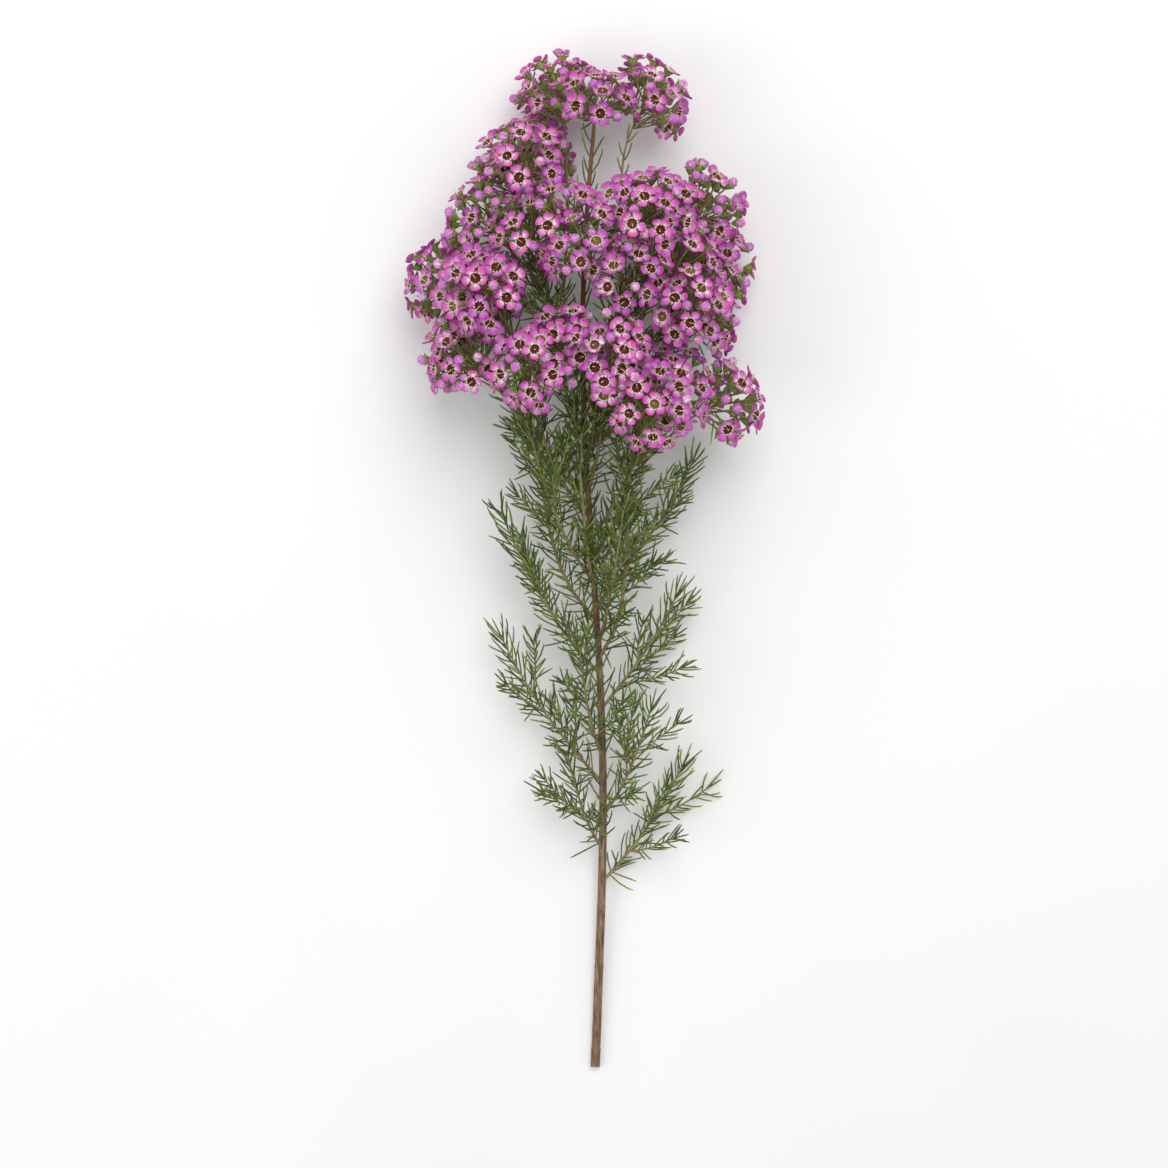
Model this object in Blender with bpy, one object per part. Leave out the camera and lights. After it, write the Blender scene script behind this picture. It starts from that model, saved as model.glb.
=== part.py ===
"""One cut stem of waxflower, laid on its side as it would be put down on a table.

Lengths are in metres. The stem lies along Y, with its cut end towards -Y and its flowering tips
towards +Y. +Z is up, and the origin is at the middle of the underside.
"""

import math
import random

import bmesh
import bpy
import numpy as np
from mathutils import Matrix, Vector

NAME = "waxflower_stem"
UP = Vector((0, 0, 1))
FORWARD = Vector((0, 1, 0))
GOLDEN_SHARE = 0.618034
GOLDEN_TURN = math.tau * (1 - GOLDEN_SHARE)

# Main stem
STEM_RUN = 0.555
CUT_RADIUS = 0.0027
STEM_TOP_RADIUS = 0.0011
STEM_RISE = 0.040
STEM_SWAY = 0.009
STEM_STEPS = 24
CUT_SLANT = 0.0016

# Side stems, and the head that their tips make up
SIDE_STEMS = 10
FIRST_TIP = 0.400
LAST_TIP = 0.520
LONGEST_REACH = 0.150
SHORTEST_REACH = 0.075
HEAD_HALF_WIDTH = 0.056
HEAD_HALF_HEIGHT = 0.033
LOWEST_BEARING = math.radians(-32)
BEARING_SWEEP = math.radians(244)
SIDE_STEM_RADIUS = 0.0011
SIDE_STEM_TIP_RADIUS = 0.0008

# Flower heads, a middle one and two side ones on each side stem
HEADS_ON_STEM = 3
HUB_RISE = 0.014
HUB_TO_TIP = 0.008
SIDE_HUB_REACH = 0.034
SIDE_HUB_LEAN = math.radians(54)
HEAD_RADIUS = 0.0008
HEAD_TIP_RADIUS = 0.0006
LOWEST_HUB = 0.020

# Flowers
DOME_RADIUS = 0.023
DOME_LEAN = math.radians(74)
DOME_PLACES = 14
FLOWER_RADIUS = 0.0069
RIMS = {"open": (FLOWER_RADIUS, 0.0010), "half_open": (0.0046, 0.0036), "bud": (0.0024, 0.0026)}
BUD_HEIGHT = 0.0045
BUD_SHARE = 0.06
HALF_OPEN_SHARE = 0.07
CUP_HEIGHT = 0.0045
CUP_RADIUS = 0.0021
CUP_FOOT_RADIUS = 0.0007
STALK_RADIUS = 0.0005
STALK_ROOT_RADIUS = 0.0003
AXIL_SPREAD = 0.020
FORK_SHARE = 0.42
SHORTEST_FORKED_STALK = 0.011
NEAREST_IN_HEAD = 0.0136
NEAREST_BETWEEN_HEADS = 0.0143

# Leafy shoots
LEAFY_SHOOTS = 14
FIRST_LEAFY = 0.125
LAST_LEAFY = 0.385
LEAFY_LENGTH = 0.105
LEAFY_LEAN = math.radians(36)
LEAFY_BEARING = math.radians(-15)
LEAFY_SWEEP = math.radians(210)
LEAFY_RADIUS = 0.0010
LEAFY_TIP_RADIUS = 0.0005
TWIGLETS_ON_SHOOT = 4
TWIGLETS_ON_STEM = 3
TWIGLET_LENGTH = 0.036
TWIGLET_RADIUS = 0.0006
TWIGLET_TIP_RADIUS = 0.0004
TWIGLET_LEAN = math.radians(36)

# Needle leaves
NEEDLE_LENGTH = 0.019
NEEDLE_RADIUS = 0.00055
NEEDLE_LEAN = math.radians(42)
NEEDLE_SPACING = 0.0048
NEEDLES_PER_SOLID_NEEDLE = 12

TWIG_SIDES = {"main_stem": 8, "side_stem": 5, "flower_head": 4, "leafy_shoot": 4}

# Clearances between pieces
SEAT_GAP = 0.0003
TWIG_GAP = 0.0010
LEAF_GAP = 0.0004
FLOOR_GAP = 0.0006
TABLE_REACH = 0.003
DEEPEST_SUNK = 0.009
MOST_TRIES = 60
FLOWER_TRIES = 16
MOST_RODS = 9000


def smooth(share):
    share = min(max(share, 0.0), 1.0)
    return share * share * (3 - 2 * share)


def turned_towards(heading, side, angle):
    """The heading, turned by an angle towards a direction square to it."""
    return (heading * math.cos(angle) + side * math.sin(angle)).normalized()


def square_to(direction, heading):
    """The part of a direction that is square to the heading."""
    return (direction - heading * direction.dot(heading)).normalized()


def curve_points(start, start_pull, end_pull, end, count):
    """Points on a cubic curve after its start, up to its end."""
    points = []
    for step in range(1, count + 1):
        t = step / count
        s = 1 - t
        pulls = start_pull * (3 * t * s * s) + end_pull * (3 * t * t * s)
        points.append(start * s**3 + pulls + end * t**3)
    return points


def ring_corners(middle, heading, radius, sides, spin):
    """Corners of a ring, with its first one straight down when spin is 0."""
    down = square_to(-UP, heading) if abs(heading.z) < 0.999 else Vector((1, 0, 0))
    across = heading.cross(down)
    corners = []
    for side in range(sides):
        angle = spin + math.tau * side / sides
        corners.append(middle + (down * math.cos(angle) + across * math.sin(angle)) * radius)
    return corners


class Twig:
    """A round twig that tapers along its path."""

    def __init__(self, path, start_radius, end_radius):
        self.path = path
        steps = len(path) - 1
        taper = (end_radius - start_radius) / steps
        self.radii = [start_radius + taper * step for step in range(steps + 1)]

    def at(self, share):
        """The point, heading and radius at a share of the path."""
        place = share * (len(self.path) - 1)
        step = min(int(place), len(self.path) - 2)
        point = self.path[step].lerp(self.path[step + 1], place - step)
        heading = (self.path[step + 1] - self.path[step]).normalized()
        radius = self.radii[step] + (self.radii[step + 1] - self.radii[step]) * (place - step)
        return point, heading, radius

    def length(self):
        return sum((b - a).length for a, b in zip(self.path, self.path[1:]))

    def spans(self):
        """The start, end and larger radius of each stretch."""
        return list(zip(self.path, self.path[1:], self.radii))


class Piece:
    """What grew as one piece: a twig with the flowers and needle leaves on it."""

    def __init__(self, name, twig, kind):
        self.name = name
        self.twig = twig
        self.kind = kind
        self.twiglets = []
        self.flowers = []
        self.needles = []


class Room:
    """The round-ended rods that the pieces fill, so that what grows later keeps clear of them."""

    def __init__(self):
        self.rods = np.zeros((MOST_RODS, 7))
        self.owners = np.zeros(MOST_RODS, dtype=int)
        self.count = 0
        self.names = {}

    def number(self, owner):
        return self.names.setdefault(owner, len(self.names) + 1)

    def take(self, owner, start, end, radius):
        self.rods[self.count] = (*start, *end, radius)
        self.owners[self.count] = self.number(owner)
        self.count += 1

    def gap(self, owner, start, end, radius, carrier=None):
        """The smallest gap between a rod and the rods of all but its owner and its carrier."""
        owners = self.owners[: self.count]
        others = self.rods[: self.count][(owners != self.number(owner)) & (owners != self.number(carrier))]
        if not len(others):
            return 1.0
        a = np.array(start)
        along = np.array(end) - a
        first = others[:, :3]
        across = others[:, 3:6] - first
        offset = a - first
        along_sq = max(along @ along, 1e-12)
        across_sq = np.maximum((across * across).sum(1), 1e-12)
        dots = across @ along
        from_along = offset @ along
        from_across = (across * offset).sum(1)
        spread = np.maximum(along_sq * across_sq - dots**2, 1e-15)
        s = np.clip((dots * from_across - from_along * across_sq) / spread, 0, 1)
        t = np.clip((dots * s + from_across) / across_sq, 0, 1)
        s = np.clip((dots * t - from_along) / along_sq, 0, 1)
        apart = offset + s[:, None] * along - t[:, None] * across
        return float((np.sqrt((apart * apart).sum(1)) - others[:, 6]).min()) - radius


class Flower:
    """A flower, half-open flower or bud, on its stalk."""

    def __init__(self, root, foot, facing, kind, spin):
        self.root = root
        self.foot = foot
        self.facing = facing
        self.kind = kind
        self.spin = spin

    def middle(self):
        """The middle of the cup's mouth, where the petals start."""
        return self.foot + self.facing * CUP_HEIGHT

    def rings(self):
        """Corners of the stalk's root and end, the cup's mouth and the corolla's rim."""
        stalk = (self.foot - self.root).normalized()
        bend = (stalk + self.facing).normalized()
        rim_radius, rim_rise = RIMS[self.kind]
        rim = self.middle() + self.facing * rim_rise
        return [
            ring_corners(self.root, stalk, STALK_ROOT_RADIUS, 3, self.spin),
            ring_corners(self.foot, bend, CUP_FOOT_RADIUS, 3, self.spin),
            ring_corners(self.middle(), self.facing, CUP_RADIUS, 5, self.spin),
            ring_corners(rim, self.facing, rim_radius, 5, self.spin),
        ]

    def lowest(self):
        return min(corner.z for ring in self.rings()[1:] for corner in ring)


def main_stem_twig():
    """The woody stem: it rests on its cut end and rises to where the head carries it."""
    path = []
    for step in range(STEM_STEPS + 1):
        share = step / STEM_STEPS
        sway = STEM_SWAY * math.sin(share * 6.1) * (0.3 + 0.7 * share)
        path.append(Vector((sway, share * STEM_RUN, CUT_RADIUS + STEM_RISE * smooth(share / 0.85))))
    return Twig(path, CUT_RADIUS, STEM_TOP_RADIUS)


def branch_twig(parent, share, side, tip, end_heading, radii, count):
    """A twig that leaves its parent's skin square to it, then bends over and rises to its tip."""
    start_radius, end_radius = radii
    root, heading, parent_radius = parent.at(share)
    side = square_to(side, heading)
    start = root + side * (parent_radius + SEAT_GAP)
    neck = start + side * start_radius * 1.5
    reach = (tip - neck).length
    start_pull = neck + turned_towards(heading, side, math.radians(40)) * reach * 0.38
    path = [start, neck] + curve_points(neck, start_pull, tip - end_heading * reach * 0.35, tip, count)
    for point in path[2:]:
        point.z = max(point.z, start_radius + FLOOR_GAP)
    return Twig(path, start_radius, end_radius)


def twig_gap(room, name, twig, carrier, near_spans):
    """How near a twig comes to other pieces, and past its first stretches also to what carries it."""
    gaps = []
    for number, (a, b, radius) in enumerate(twig.spans()):
        gaps.append(room.gap(name, a, b, radius, carrier if number < near_spans else None))
    return min(gaps)


def take_twig(room, piece):
    for a, b, radius in piece.twig.spans():
        room.take(piece.name, a, b, radius)


def side_stem_target(main, number, dice):
    """Where a side stem's tip lies in the head, its heading there, and where it leaves the main stem."""
    level = (number + 0.5) / SIDE_STEMS
    tip_y = FIRST_TIP + (LAST_TIP - FIRST_TIP) * level + dice.uniform(-0.008, 0.008)
    bearing = LOWEST_BEARING + BEARING_SWEEP * ((number * GOLDEN_SHARE + 0.30) % 1)
    bearing += dice.uniform(-0.12, 0.12)
    outward = Vector((math.cos(bearing), 0, math.sin(bearing)))
    middle = main.at(tip_y / STEM_RUN)[0]
    swell = math.sqrt(1 - ((level - 0.35) / 0.85) ** 2) * dice.uniform(0.92, 1.08)
    tip = middle + Vector((outward.x * HEAD_HALF_WIDTH, 0, outward.z * HEAD_HALF_HEIGHT)) * swell
    tip.z = max(tip.z, LOWEST_HUB)
    heading = (outward * (0.85 - 0.35 * level) + FORWARD * (0.60 + 0.40 * level) + UP * 0.12).normalized()
    reach = LONGEST_REACH + (SHORTEST_REACH - LONGEST_REACH) * level
    return tip, heading, outward, (tip_y - reach) / STEM_RUN


def grow_side_stems(room, main):
    stems = []
    for number in range(SIDE_STEMS):
        name = f"side_stem_{number + 1:02d}"
        for attempt in range(MOST_TRIES):
            dice = random.Random(f"{name} {attempt}")
            tip, heading, outward, share = side_stem_target(main.twig, number, dice)
            radii = (SIDE_STEM_RADIUS, SIDE_STEM_TIP_RADIUS)
            twig = branch_twig(main.twig, share, outward, tip, heading, radii, 9)
            if twig_gap(room, name, twig, main.name, 3) > TWIG_GAP:
                break
        stem = Piece(name, twig, "side_stem")
        take_twig(room, stem)
        stems.append((stem, heading, outward))
    return stems


def middle_head(stem, heading):
    """The twig of the head that goes straight on from a side stem's tip."""
    tip, along, radius = stem.twig.at(1)
    start = tip + along * SEAT_GAP
    end = start + heading * (HUB_RISE + HUB_TO_TIP)
    path = [start] + curve_points(start, start + along * 0.007, end - heading * 0.007, end, 3)
    return Twig(path, radius, HEAD_TIP_RADIUS)


def side_head(stem, heading, side, share, lean):
    """The twig of a head beside the middle one, from lower on the side stem."""
    tip = stem.twig.at(1)[0]
    hub = tip + turned_towards(heading, side, lean) * SIDE_HUB_REACH
    hub.z = max(hub.z, LOWEST_HUB)
    facing = turned_towards(heading, side, lean * 0.72)
    end = hub + facing * HUB_TO_TIP
    return branch_twig(stem.twig, share, side, end, facing, (HEAD_RADIUS, HEAD_TIP_RADIUS), 5), facing


def head_twig(stem, heading, outward, place, tilt, dice):
    """The middle head of a side stem is at place 0, and the two beside it are at places 1 and 2."""
    if place == 0:
        facing = (heading + Vector([dice.uniform(-0.25, 0.25) for _ in range(3)])).normalized()
        return middle_head(stem, facing), facing
    around = heading.cross(outward).normalized()
    across = heading.cross(around).normalized()
    turn = tilt + dice.uniform(-0.5, 0.5)
    side = around * math.cos(turn) + across * math.sin(turn)
    share = 0.60 + 0.14 * place + dice.uniform(-0.05, 0.05)
    lean = SIDE_HUB_LEAN * dice.uniform(0.85, 1.15)
    return side_head(stem, heading, side if place == 1 else -side, share, lean)


def grow_heads(room, stems):
    heads = []
    for stem, heading, outward in stems:
        for place in range(HEADS_ON_STEM):
            name = f"flower_head_{len(heads) + 1:02d}"
            tilt = math.radians(28 if len(heads) % 2 else -28)
            for attempt in range(MOST_TRIES):
                dice = random.Random(f"{name} {attempt}")
                twig, facing = head_twig(stem, heading, outward, place, tilt, dice)
                if twig_gap(room, name, twig, stem.name, 1 if place == 0 else 3) > TWIG_GAP:
                    break
            else:
                continue
            head = Piece(name, twig, "flower_head")
            head.facing = facing
            take_twig(room, head)
            heads.append(head)
    return heads


def leafy_twig(main, number, dice):
    level = number / (LEAFY_SHOOTS - 1)
    bearing = LEAFY_BEARING + LEAFY_SWEEP * ((number * GOLDEN_SHARE + dice.uniform(0, 0.12)) % 1)
    outward = Vector((math.cos(bearing), 0, math.sin(bearing) * 0.8))
    place = FIRST_LEAFY + (LAST_LEAFY - FIRST_LEAFY) * level + dice.uniform(-0.008, 0.008)
    length = LEAFY_LENGTH * dice.uniform(0.72, 1.15) * (0.7 + 0.3 * math.sin(math.pi * level))
    share = place / STEM_RUN
    tip = main.twig.at(share)[0] + turned_towards(FORWARD, outward, LEAFY_LEAN) * length
    end_heading = turned_towards(FORWARD, outward, LEAFY_LEAN * 0.7)
    radii = (LEAFY_RADIUS, LEAFY_TIP_RADIUS)
    return branch_twig(main.twig, share, outward, tip, end_heading, radii, 7)


def grow_leafy_shoots(room, main):
    shoots = []
    for number in range(LEAFY_SHOOTS):
        name = f"leafy_shoot_{len(shoots) + 1:02d}"
        for attempt in range(MOST_TRIES):
            twig = leafy_twig(main, number, random.Random(f"{name} {attempt}"))
            if twig_gap(room, name, twig, main.name, 3) > TWIG_GAP * 2:
                break
        else:
            continue
        shoot = Piece(name, twig, "leafy_shoot")
        take_twig(room, shoot)
        shoots.append(shoot)
    return shoots


def flower_root(head, foot, share):
    """Where a stalk starts: on the head's twig, or forking from the stalk of a flower nearby."""
    drop = AXIL_SPREAD * share / head.twig.length()
    root = head.twig.at(1 - min(drop, 0.6))[0]
    for other in head.flowers:
        stalk = other.foot - other.root
        fork = other.root + stalk * FORK_SHARE
        way = foot - fork
        if stalk.length < SHORTEST_FORKED_STALK or way.angle(stalk) > math.radians(50):
            continue
        if way.length < (foot - root).length:
            root = fork
    return root


def flower_candidate(head, place, freedom, dice):
    """A flower at its place on the dome of a head, resting on the table where the dome reaches it."""
    tip = head.twig.at(1)[0]
    lean = DOME_LEAN * math.sqrt((place + 0.15) / DOME_PLACES)
    turn = place * GOLDEN_TURN + dice.uniform(-freedom, freedom)
    outward = Matrix.Rotation(turn, 3, head.facing) @ square_to(UP, head.facing)
    direction = turned_towards(head.facing, outward, lean)
    hub = tip - head.facing * HUB_TO_TIP
    middle = hub + direction * DOME_RADIUS * dice.uniform(0.90, 1.10)
    jitter = Vector([dice.uniform(-0.16, 0.16) for _ in range(3)])
    facing = (direction * 0.7 + head.facing * 0.3 + jitter).normalized()
    foot = middle - facing * CUP_HEIGHT
    age = dice.random()
    kind = "bud" if age < BUD_SHARE else "half_open" if age < BUD_SHARE + HALF_OPEN_SHARE else "open"
    root = flower_root(head, foot, 0.15 + 0.85 * lean / DOME_LEAN)
    flower = Flower(root, foot, facing, kind, dice.uniform(0, math.tau))
    lowest = flower.lowest()
    if lowest < TABLE_REACH:
        flower.foot = flower.foot - UP * lowest
    return flower, -lowest


def flower_fits(room, head, flower):
    middle = flower.middle()
    if any((middle - other.middle()).length < NEAREST_IN_HEAD for other in head.flowers):
        return False
    stalk = (flower.foot - flower.root).normalized()
    if stalk.dot(flower.facing) < 0.25:
        return False
    start = flower.root + stalk * 0.001
    reach = NEAREST_BETWEEN_HEADS - FLOWER_RADIUS
    return (
        room.gap(head.name, middle, middle, reach) > 0
        and room.gap(head.name, start, flower.foot, STALK_RADIUS) > LEAF_GAP
        and room.gap(head.name, flower.foot, middle, CUP_RADIUS) > LEAF_GAP
    )


def grow_flowers(room, heads):
    """Flowers in rounds, so that the middle of each dome fills before the edges of any."""
    for place in range(DOME_PLACES):
        for head in heads:
            for attempt in range(FLOWER_TRIES):
                dice = random.Random(f"{head.name} flower {place} {attempt}")
                flower, sunk = flower_candidate(head, place, 0.2 + 0.06 * attempt, dice)
                if sunk < DEEPEST_SUNK and flower_fits(room, head, flower):
                    room.take(head.name, flower.middle(), flower.middle(), FLOWER_RADIUS)
                    room.take(head.name, flower.root, flower.foot, STALK_RADIUS)
                    room.take(head.name, flower.foot, flower.middle(), CUP_RADIUS)
                    head.flowers.append(flower)
                    break


def grow_twiglets(room, piece, count):
    """Short leafy twigs on a shoot or side stem, on alternate sides."""
    for number in range(count):
        dice = random.Random(f"{piece.name} twiglet {number}")
        root, heading, _ = piece.twig.at(0.22 + 0.5 * number / count + dice.uniform(0, 0.1))
        turn = math.radians(150) * number + dice.uniform(0, 1.5)
        side = Matrix.Rotation(turn, 3, heading) @ square_to(UP, heading)
        end_heading = turned_towards(heading, side, TWIGLET_LEAN * 0.7)
        tip = root + turned_towards(heading, side, TWIGLET_LEAN) * TWIGLET_LENGTH * dice.uniform(0.7, 1.2)
        start_pull = root + side * 0.006 + heading * 0.004
        path = [root] + curve_points(root, start_pull, tip - end_heading * 0.010, tip, 3)
        twiglet = Twig(path, TWIGLET_RADIUS, TWIGLET_TIP_RADIUS)
        if tip.z > TWIGLET_RADIUS * 2 and twig_gap(room, piece.name, twiglet, None, 0) > TWIG_GAP:
            piece.twiglets.append(twiglet)
            for a, b, radius in twiglet.spans():
                room.take(piece.name, a, b, radius)


def grow_needles(room, piece, twig, first_share, spacing, length):
    """Needle leaves in opposite pairs, each pair square to the one before."""
    pairs = int(twig.length() * (1 - first_share) / spacing)
    dice = random.Random(f"{piece.name} needles {len(piece.needles)}")
    for pair in range(pairs):
        share = first_share + (1 - first_share) * (pair + 0.5) / pairs
        root, heading, _ = twig.at(share)
        first = square_to(UP + Vector((0.3, 0, 0)), heading)
        for half in range(2):
            turn = math.radians(90 * (pair % 2) + 180 * half + 35) + dice.uniform(-0.25, 0.25)
            side = Matrix.Rotation(turn, 3, heading) @ first
            lean = NEEDLE_LEAN * dice.uniform(0.75, 1.2) * (1 - 0.35 * share)
            way = turned_towards(heading, side, lean)
            tip = root + way * length * dice.uniform(0.70, 1.12)
            start = root + way * 0.002
            if tip.z > FLOOR_GAP and room.gap(piece.name, start, tip, NEEDLE_RADIUS) > LEAF_GAP:
                piece.needles.append((root, tip, side))
                room.take(piece.name, start, tip, NEEDLE_RADIUS)


def grow_plant():
    """The whole stem, before it is centred over its origin."""
    room = Room()
    main = Piece("main_stem", main_stem_twig(), "main_stem")
    take_twig(room, main)
    side_stems = grow_side_stems(room, main)
    top_heading = (FORWARD + UP * 0.15).normalized()
    heads = grow_heads(room, [(main, top_heading, UP)] + side_stems)
    stems = [stem for stem, _, _ in side_stems]
    shoots = grow_leafy_shoots(room, main)
    for piece in shoots:
        grow_twiglets(room, piece, TWIGLETS_ON_SHOOT)
    for piece in stems:
        grow_twiglets(room, piece, TWIGLETS_ON_STEM)
    grow_flowers(room, heads)
    for piece in shoots + stems:
        grow_needles(room, piece, piece.twig, 0.08, NEEDLE_SPACING, NEEDLE_LENGTH)
        for twiglet in piece.twiglets:
            grow_needles(room, piece, twiglet, 0.15, NEEDLE_SPACING, NEEDLE_LENGTH * 0.75)
    grow_needles(room, main, main.twig, 0.26, NEEDLE_SPACING * 1.8, NEEDLE_LENGTH)
    for head in heads:
        grow_needles(room, head, head.twig, 0.15, NEEDLE_SPACING * 1.6, NEEDLE_LENGTH * 0.6)
    return [main] + stems + heads + shoots


def clear_scene():
    for item in list(bpy.data.objects):
        bpy.data.objects.remove(item, do_unlink=True)


def new_collection(name):
    collection = bpy.data.collections.new(name)
    bpy.context.scene.collection.children.link(collection)
    return collection


def new_material(name, colour, roughness):
    material = bpy.data.materials.new(name)
    material.use_nodes = True
    shader = material.node_tree.nodes["Principled BSDF"]
    shader.inputs["Base Color"].default_value = (*colour, 1)
    shader.inputs["Roughness"].default_value = roughness
    shader.inputs["Metallic"].default_value = 0
    return material


def join_rings(mesh, low, high):
    """Faces between two rings of corners, the second of which may have more."""
    if len(low) == len(high):
        partner = list(range(len(high)))
    else:
        partner = [min(range(len(low)), key=lambda n: (low[n].co - corner.co).length) for corner in high]
    for side in range(len(high)):
        after = (side + 1) % len(high)
        corners = [low[partner[side]], low[partner[after]], high[after], high[side]]
        if partner[side] == partner[after]:
            del corners[1]
        mesh.faces.new(corners)


def add_lofted(mesh, rings, top=None):
    """A closed solid through rings, with a flat start, and a flat end or a pole."""
    loops = [[mesh.verts.new(corner) for corner in ring] for ring in rings]
    mesh.faces.new(reversed(loops[0]))
    for low, high in zip(loops, loops[1:]):
        join_rings(mesh, low, high)
    if top is None:
        mesh.faces.new(loops[-1])
        return
    pole = mesh.verts.new(top)
    for side in range(len(loops[-1])):
        mesh.faces.new((loops[-1][side], loops[-1][(side + 1) % len(loops[-1])], pole))


def twig_rings(twig, sides):
    """A ring at each point of the path, square to the bend there."""
    rings = []
    for step, (point, radius) in enumerate(zip(twig.path, twig.radii)):
        before = twig.path[max(step - 1, 0)]
        after = twig.path[min(step + 1, len(twig.path) - 1)]
        rings.append(ring_corners(point, (after - before).normalized(), radius, sides, 0))
    return rings


def add_flower(mesh, flower):
    """Stalk, cup and corolla as one loft: a five-cornered dish, a deeper one, or a pointed bud."""
    pole = flower.middle() + flower.facing * BUD_HEIGHT if flower.kind == "bud" else None
    add_lofted(mesh, flower.rings(), pole)


def add_needle(mesh, root, tip):
    heading = (tip - root).normalized()
    rings = [ring_corners(root, heading, NEEDLE_RADIUS, 3, math.pi)]
    add_lofted(mesh, rings, tip)


def mesh_object(name, mesh, collection, material):
    data = bpy.data.meshes.new(name)
    mesh.to_mesh(data)
    mesh.free()
    data.materials.append(material)
    item = bpy.data.objects.new(name, data)
    collection.objects.link(item)
    return item


def slant_cut(rings):
    """The cut end slopes: its upper edge lies further along the stem."""
    lowest = min(corner.z for corner in rings[0])
    highest = max(corner.z for corner in rings[0])
    for corner in rings[0]:
        corner.y += CUT_SLANT * (corner.z - lowest) / (highest - lowest)


def twig_object(piece, parts, material):
    mesh = bmesh.new()
    rings = twig_rings(piece.twig, TWIG_SIDES[piece.kind])
    if piece.kind == "main_stem":
        slant_cut(rings)
    add_lofted(mesh, rings)
    item = mesh_object(piece.name, mesh, parts, material)
    item.data.shade_smooth()
    item.data.set_sharp_from_angle(angle=math.radians(50))
    return item


def add_tool(name, mesh, tools, material):
    item = mesh_object(name, mesh, tools, material)
    item.hide_render = True
    item.display_type = "WIRE"
    return item


def join(target, tool, solver):
    union = target.modifiers.new("Join", "BOOLEAN")
    union.operation = "UNION"
    union.solver = solver
    union.object = tool


def join_flowers(item, piece, tools, material):
    """The thin stalks cross where they leave the twig, which the exact solver can't join."""
    for number, flower in enumerate(piece.flowers):
        mesh = bmesh.new()
        add_flower(mesh, flower)
        join(item, add_tool(f"{piece.name}_flower_{number}", mesh, tools, material), "MANIFOLD")


def join_twiglets(item, piece, tools, material):
    for number, twiglet in enumerate(piece.twiglets):
        mesh = bmesh.new()
        add_lofted(mesh, twig_rings(twiglet, 3))
        join(item, add_tool(f"{piece.name}_twiglet_{number}", mesh, tools, material), "EXACT")


def join_needles(item, piece, tools, material):
    for number, (root, tip, _) in enumerate(piece.needles[::NEEDLES_PER_SOLID_NEEDLE]):
        mesh = bmesh.new()
        add_needle(mesh, root, tip)
        join(item, add_tool(f"{piece.name}_needle_{number}", mesh, tools, material), "EXACT")


def centre_over_origin(parts):
    """Moves every mesh so that the origin is at the middle of the underside."""
    graph = bpy.context.evaluated_depsgraph_get()
    corners = []
    for item in parts.objects:
        corners += [corner.co.copy() for corner in item.evaluated_get(graph).data.vertices]
    low = [min(corner[axis] for corner in corners) for axis in range(3)]
    high = [max(corner[axis] for corner in corners) for axis in range(3)]
    shift = Vector((-(low[0] + high[0]) / 2, -(low[1] + high[1]) / 2, -low[2]))
    for item in bpy.data.objects:
        item.data.transform(Matrix.Translation(shift))


def build():
    clear_scene()
    parts = new_collection(NAME)
    tools = new_collection("tools")
    tools.hide_render = True
    materials = {
        "main_stem": new_material("bark", (0.30, 0.17, 0.09), 0.75),
        "side_stem": new_material("twig", (0.27, 0.20, 0.08), 0.65),
        "flower_head": new_material("petal", (0.62, 0.13, 0.46), 0.45),
        "leafy_shoot": new_material("leaf", (0.09, 0.19, 0.05), 0.50),
    }
    for piece in grow_plant():
        item = twig_object(piece, parts, materials[piece.kind])
        if piece.flowers:
            join_flowers(item, piece, tools, materials[piece.kind])
        else:
            join_twiglets(item, piece, tools, materials[piece.kind])
            join_needles(item, piece, tools, materials[piece.kind])
    centre_over_origin(parts)


build()
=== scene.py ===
"""The finished look of one cut stem of waxflower, laid on its side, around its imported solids.

Lengths are in metres. +Y runs from the cut end to the flowering tips, and +Z is up. The stem grows here
by the same rules and with the same draws as its solids did, so each flower and needle leaf sits where
its solid is. More flowers and buds then fill the gaps in the flower heads, which the solids leave out.
"""

import math
import random
from functools import partial
from types import SimpleNamespace

import bpy
import numpy as np
from mathutils import Matrix, Vector


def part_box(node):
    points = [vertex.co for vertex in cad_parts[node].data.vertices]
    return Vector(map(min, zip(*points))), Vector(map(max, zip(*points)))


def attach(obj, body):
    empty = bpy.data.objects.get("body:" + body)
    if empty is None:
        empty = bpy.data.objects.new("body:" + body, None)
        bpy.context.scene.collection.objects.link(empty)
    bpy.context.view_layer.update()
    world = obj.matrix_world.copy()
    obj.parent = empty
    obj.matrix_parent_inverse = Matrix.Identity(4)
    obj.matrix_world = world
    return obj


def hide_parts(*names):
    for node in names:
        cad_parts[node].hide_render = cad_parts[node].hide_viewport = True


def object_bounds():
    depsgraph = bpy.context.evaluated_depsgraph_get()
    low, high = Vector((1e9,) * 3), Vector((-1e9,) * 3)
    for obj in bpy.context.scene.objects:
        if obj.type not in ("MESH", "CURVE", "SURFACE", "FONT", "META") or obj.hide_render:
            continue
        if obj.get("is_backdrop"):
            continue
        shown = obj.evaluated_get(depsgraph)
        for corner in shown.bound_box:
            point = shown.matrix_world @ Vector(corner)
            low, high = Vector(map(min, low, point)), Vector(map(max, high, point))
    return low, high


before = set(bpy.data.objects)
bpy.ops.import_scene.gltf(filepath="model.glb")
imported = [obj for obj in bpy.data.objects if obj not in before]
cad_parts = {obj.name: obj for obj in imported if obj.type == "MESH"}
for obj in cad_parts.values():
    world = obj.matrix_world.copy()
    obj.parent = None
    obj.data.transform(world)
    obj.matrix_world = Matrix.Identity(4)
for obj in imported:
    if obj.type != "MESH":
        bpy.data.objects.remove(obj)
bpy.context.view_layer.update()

UP = Vector((0, 0, 1))
FORWARD = Vector((0, 1, 0))
LEANING_UP = Vector((0.3, 0, 1))
GOLDEN_SHARE = 0.618034
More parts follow.
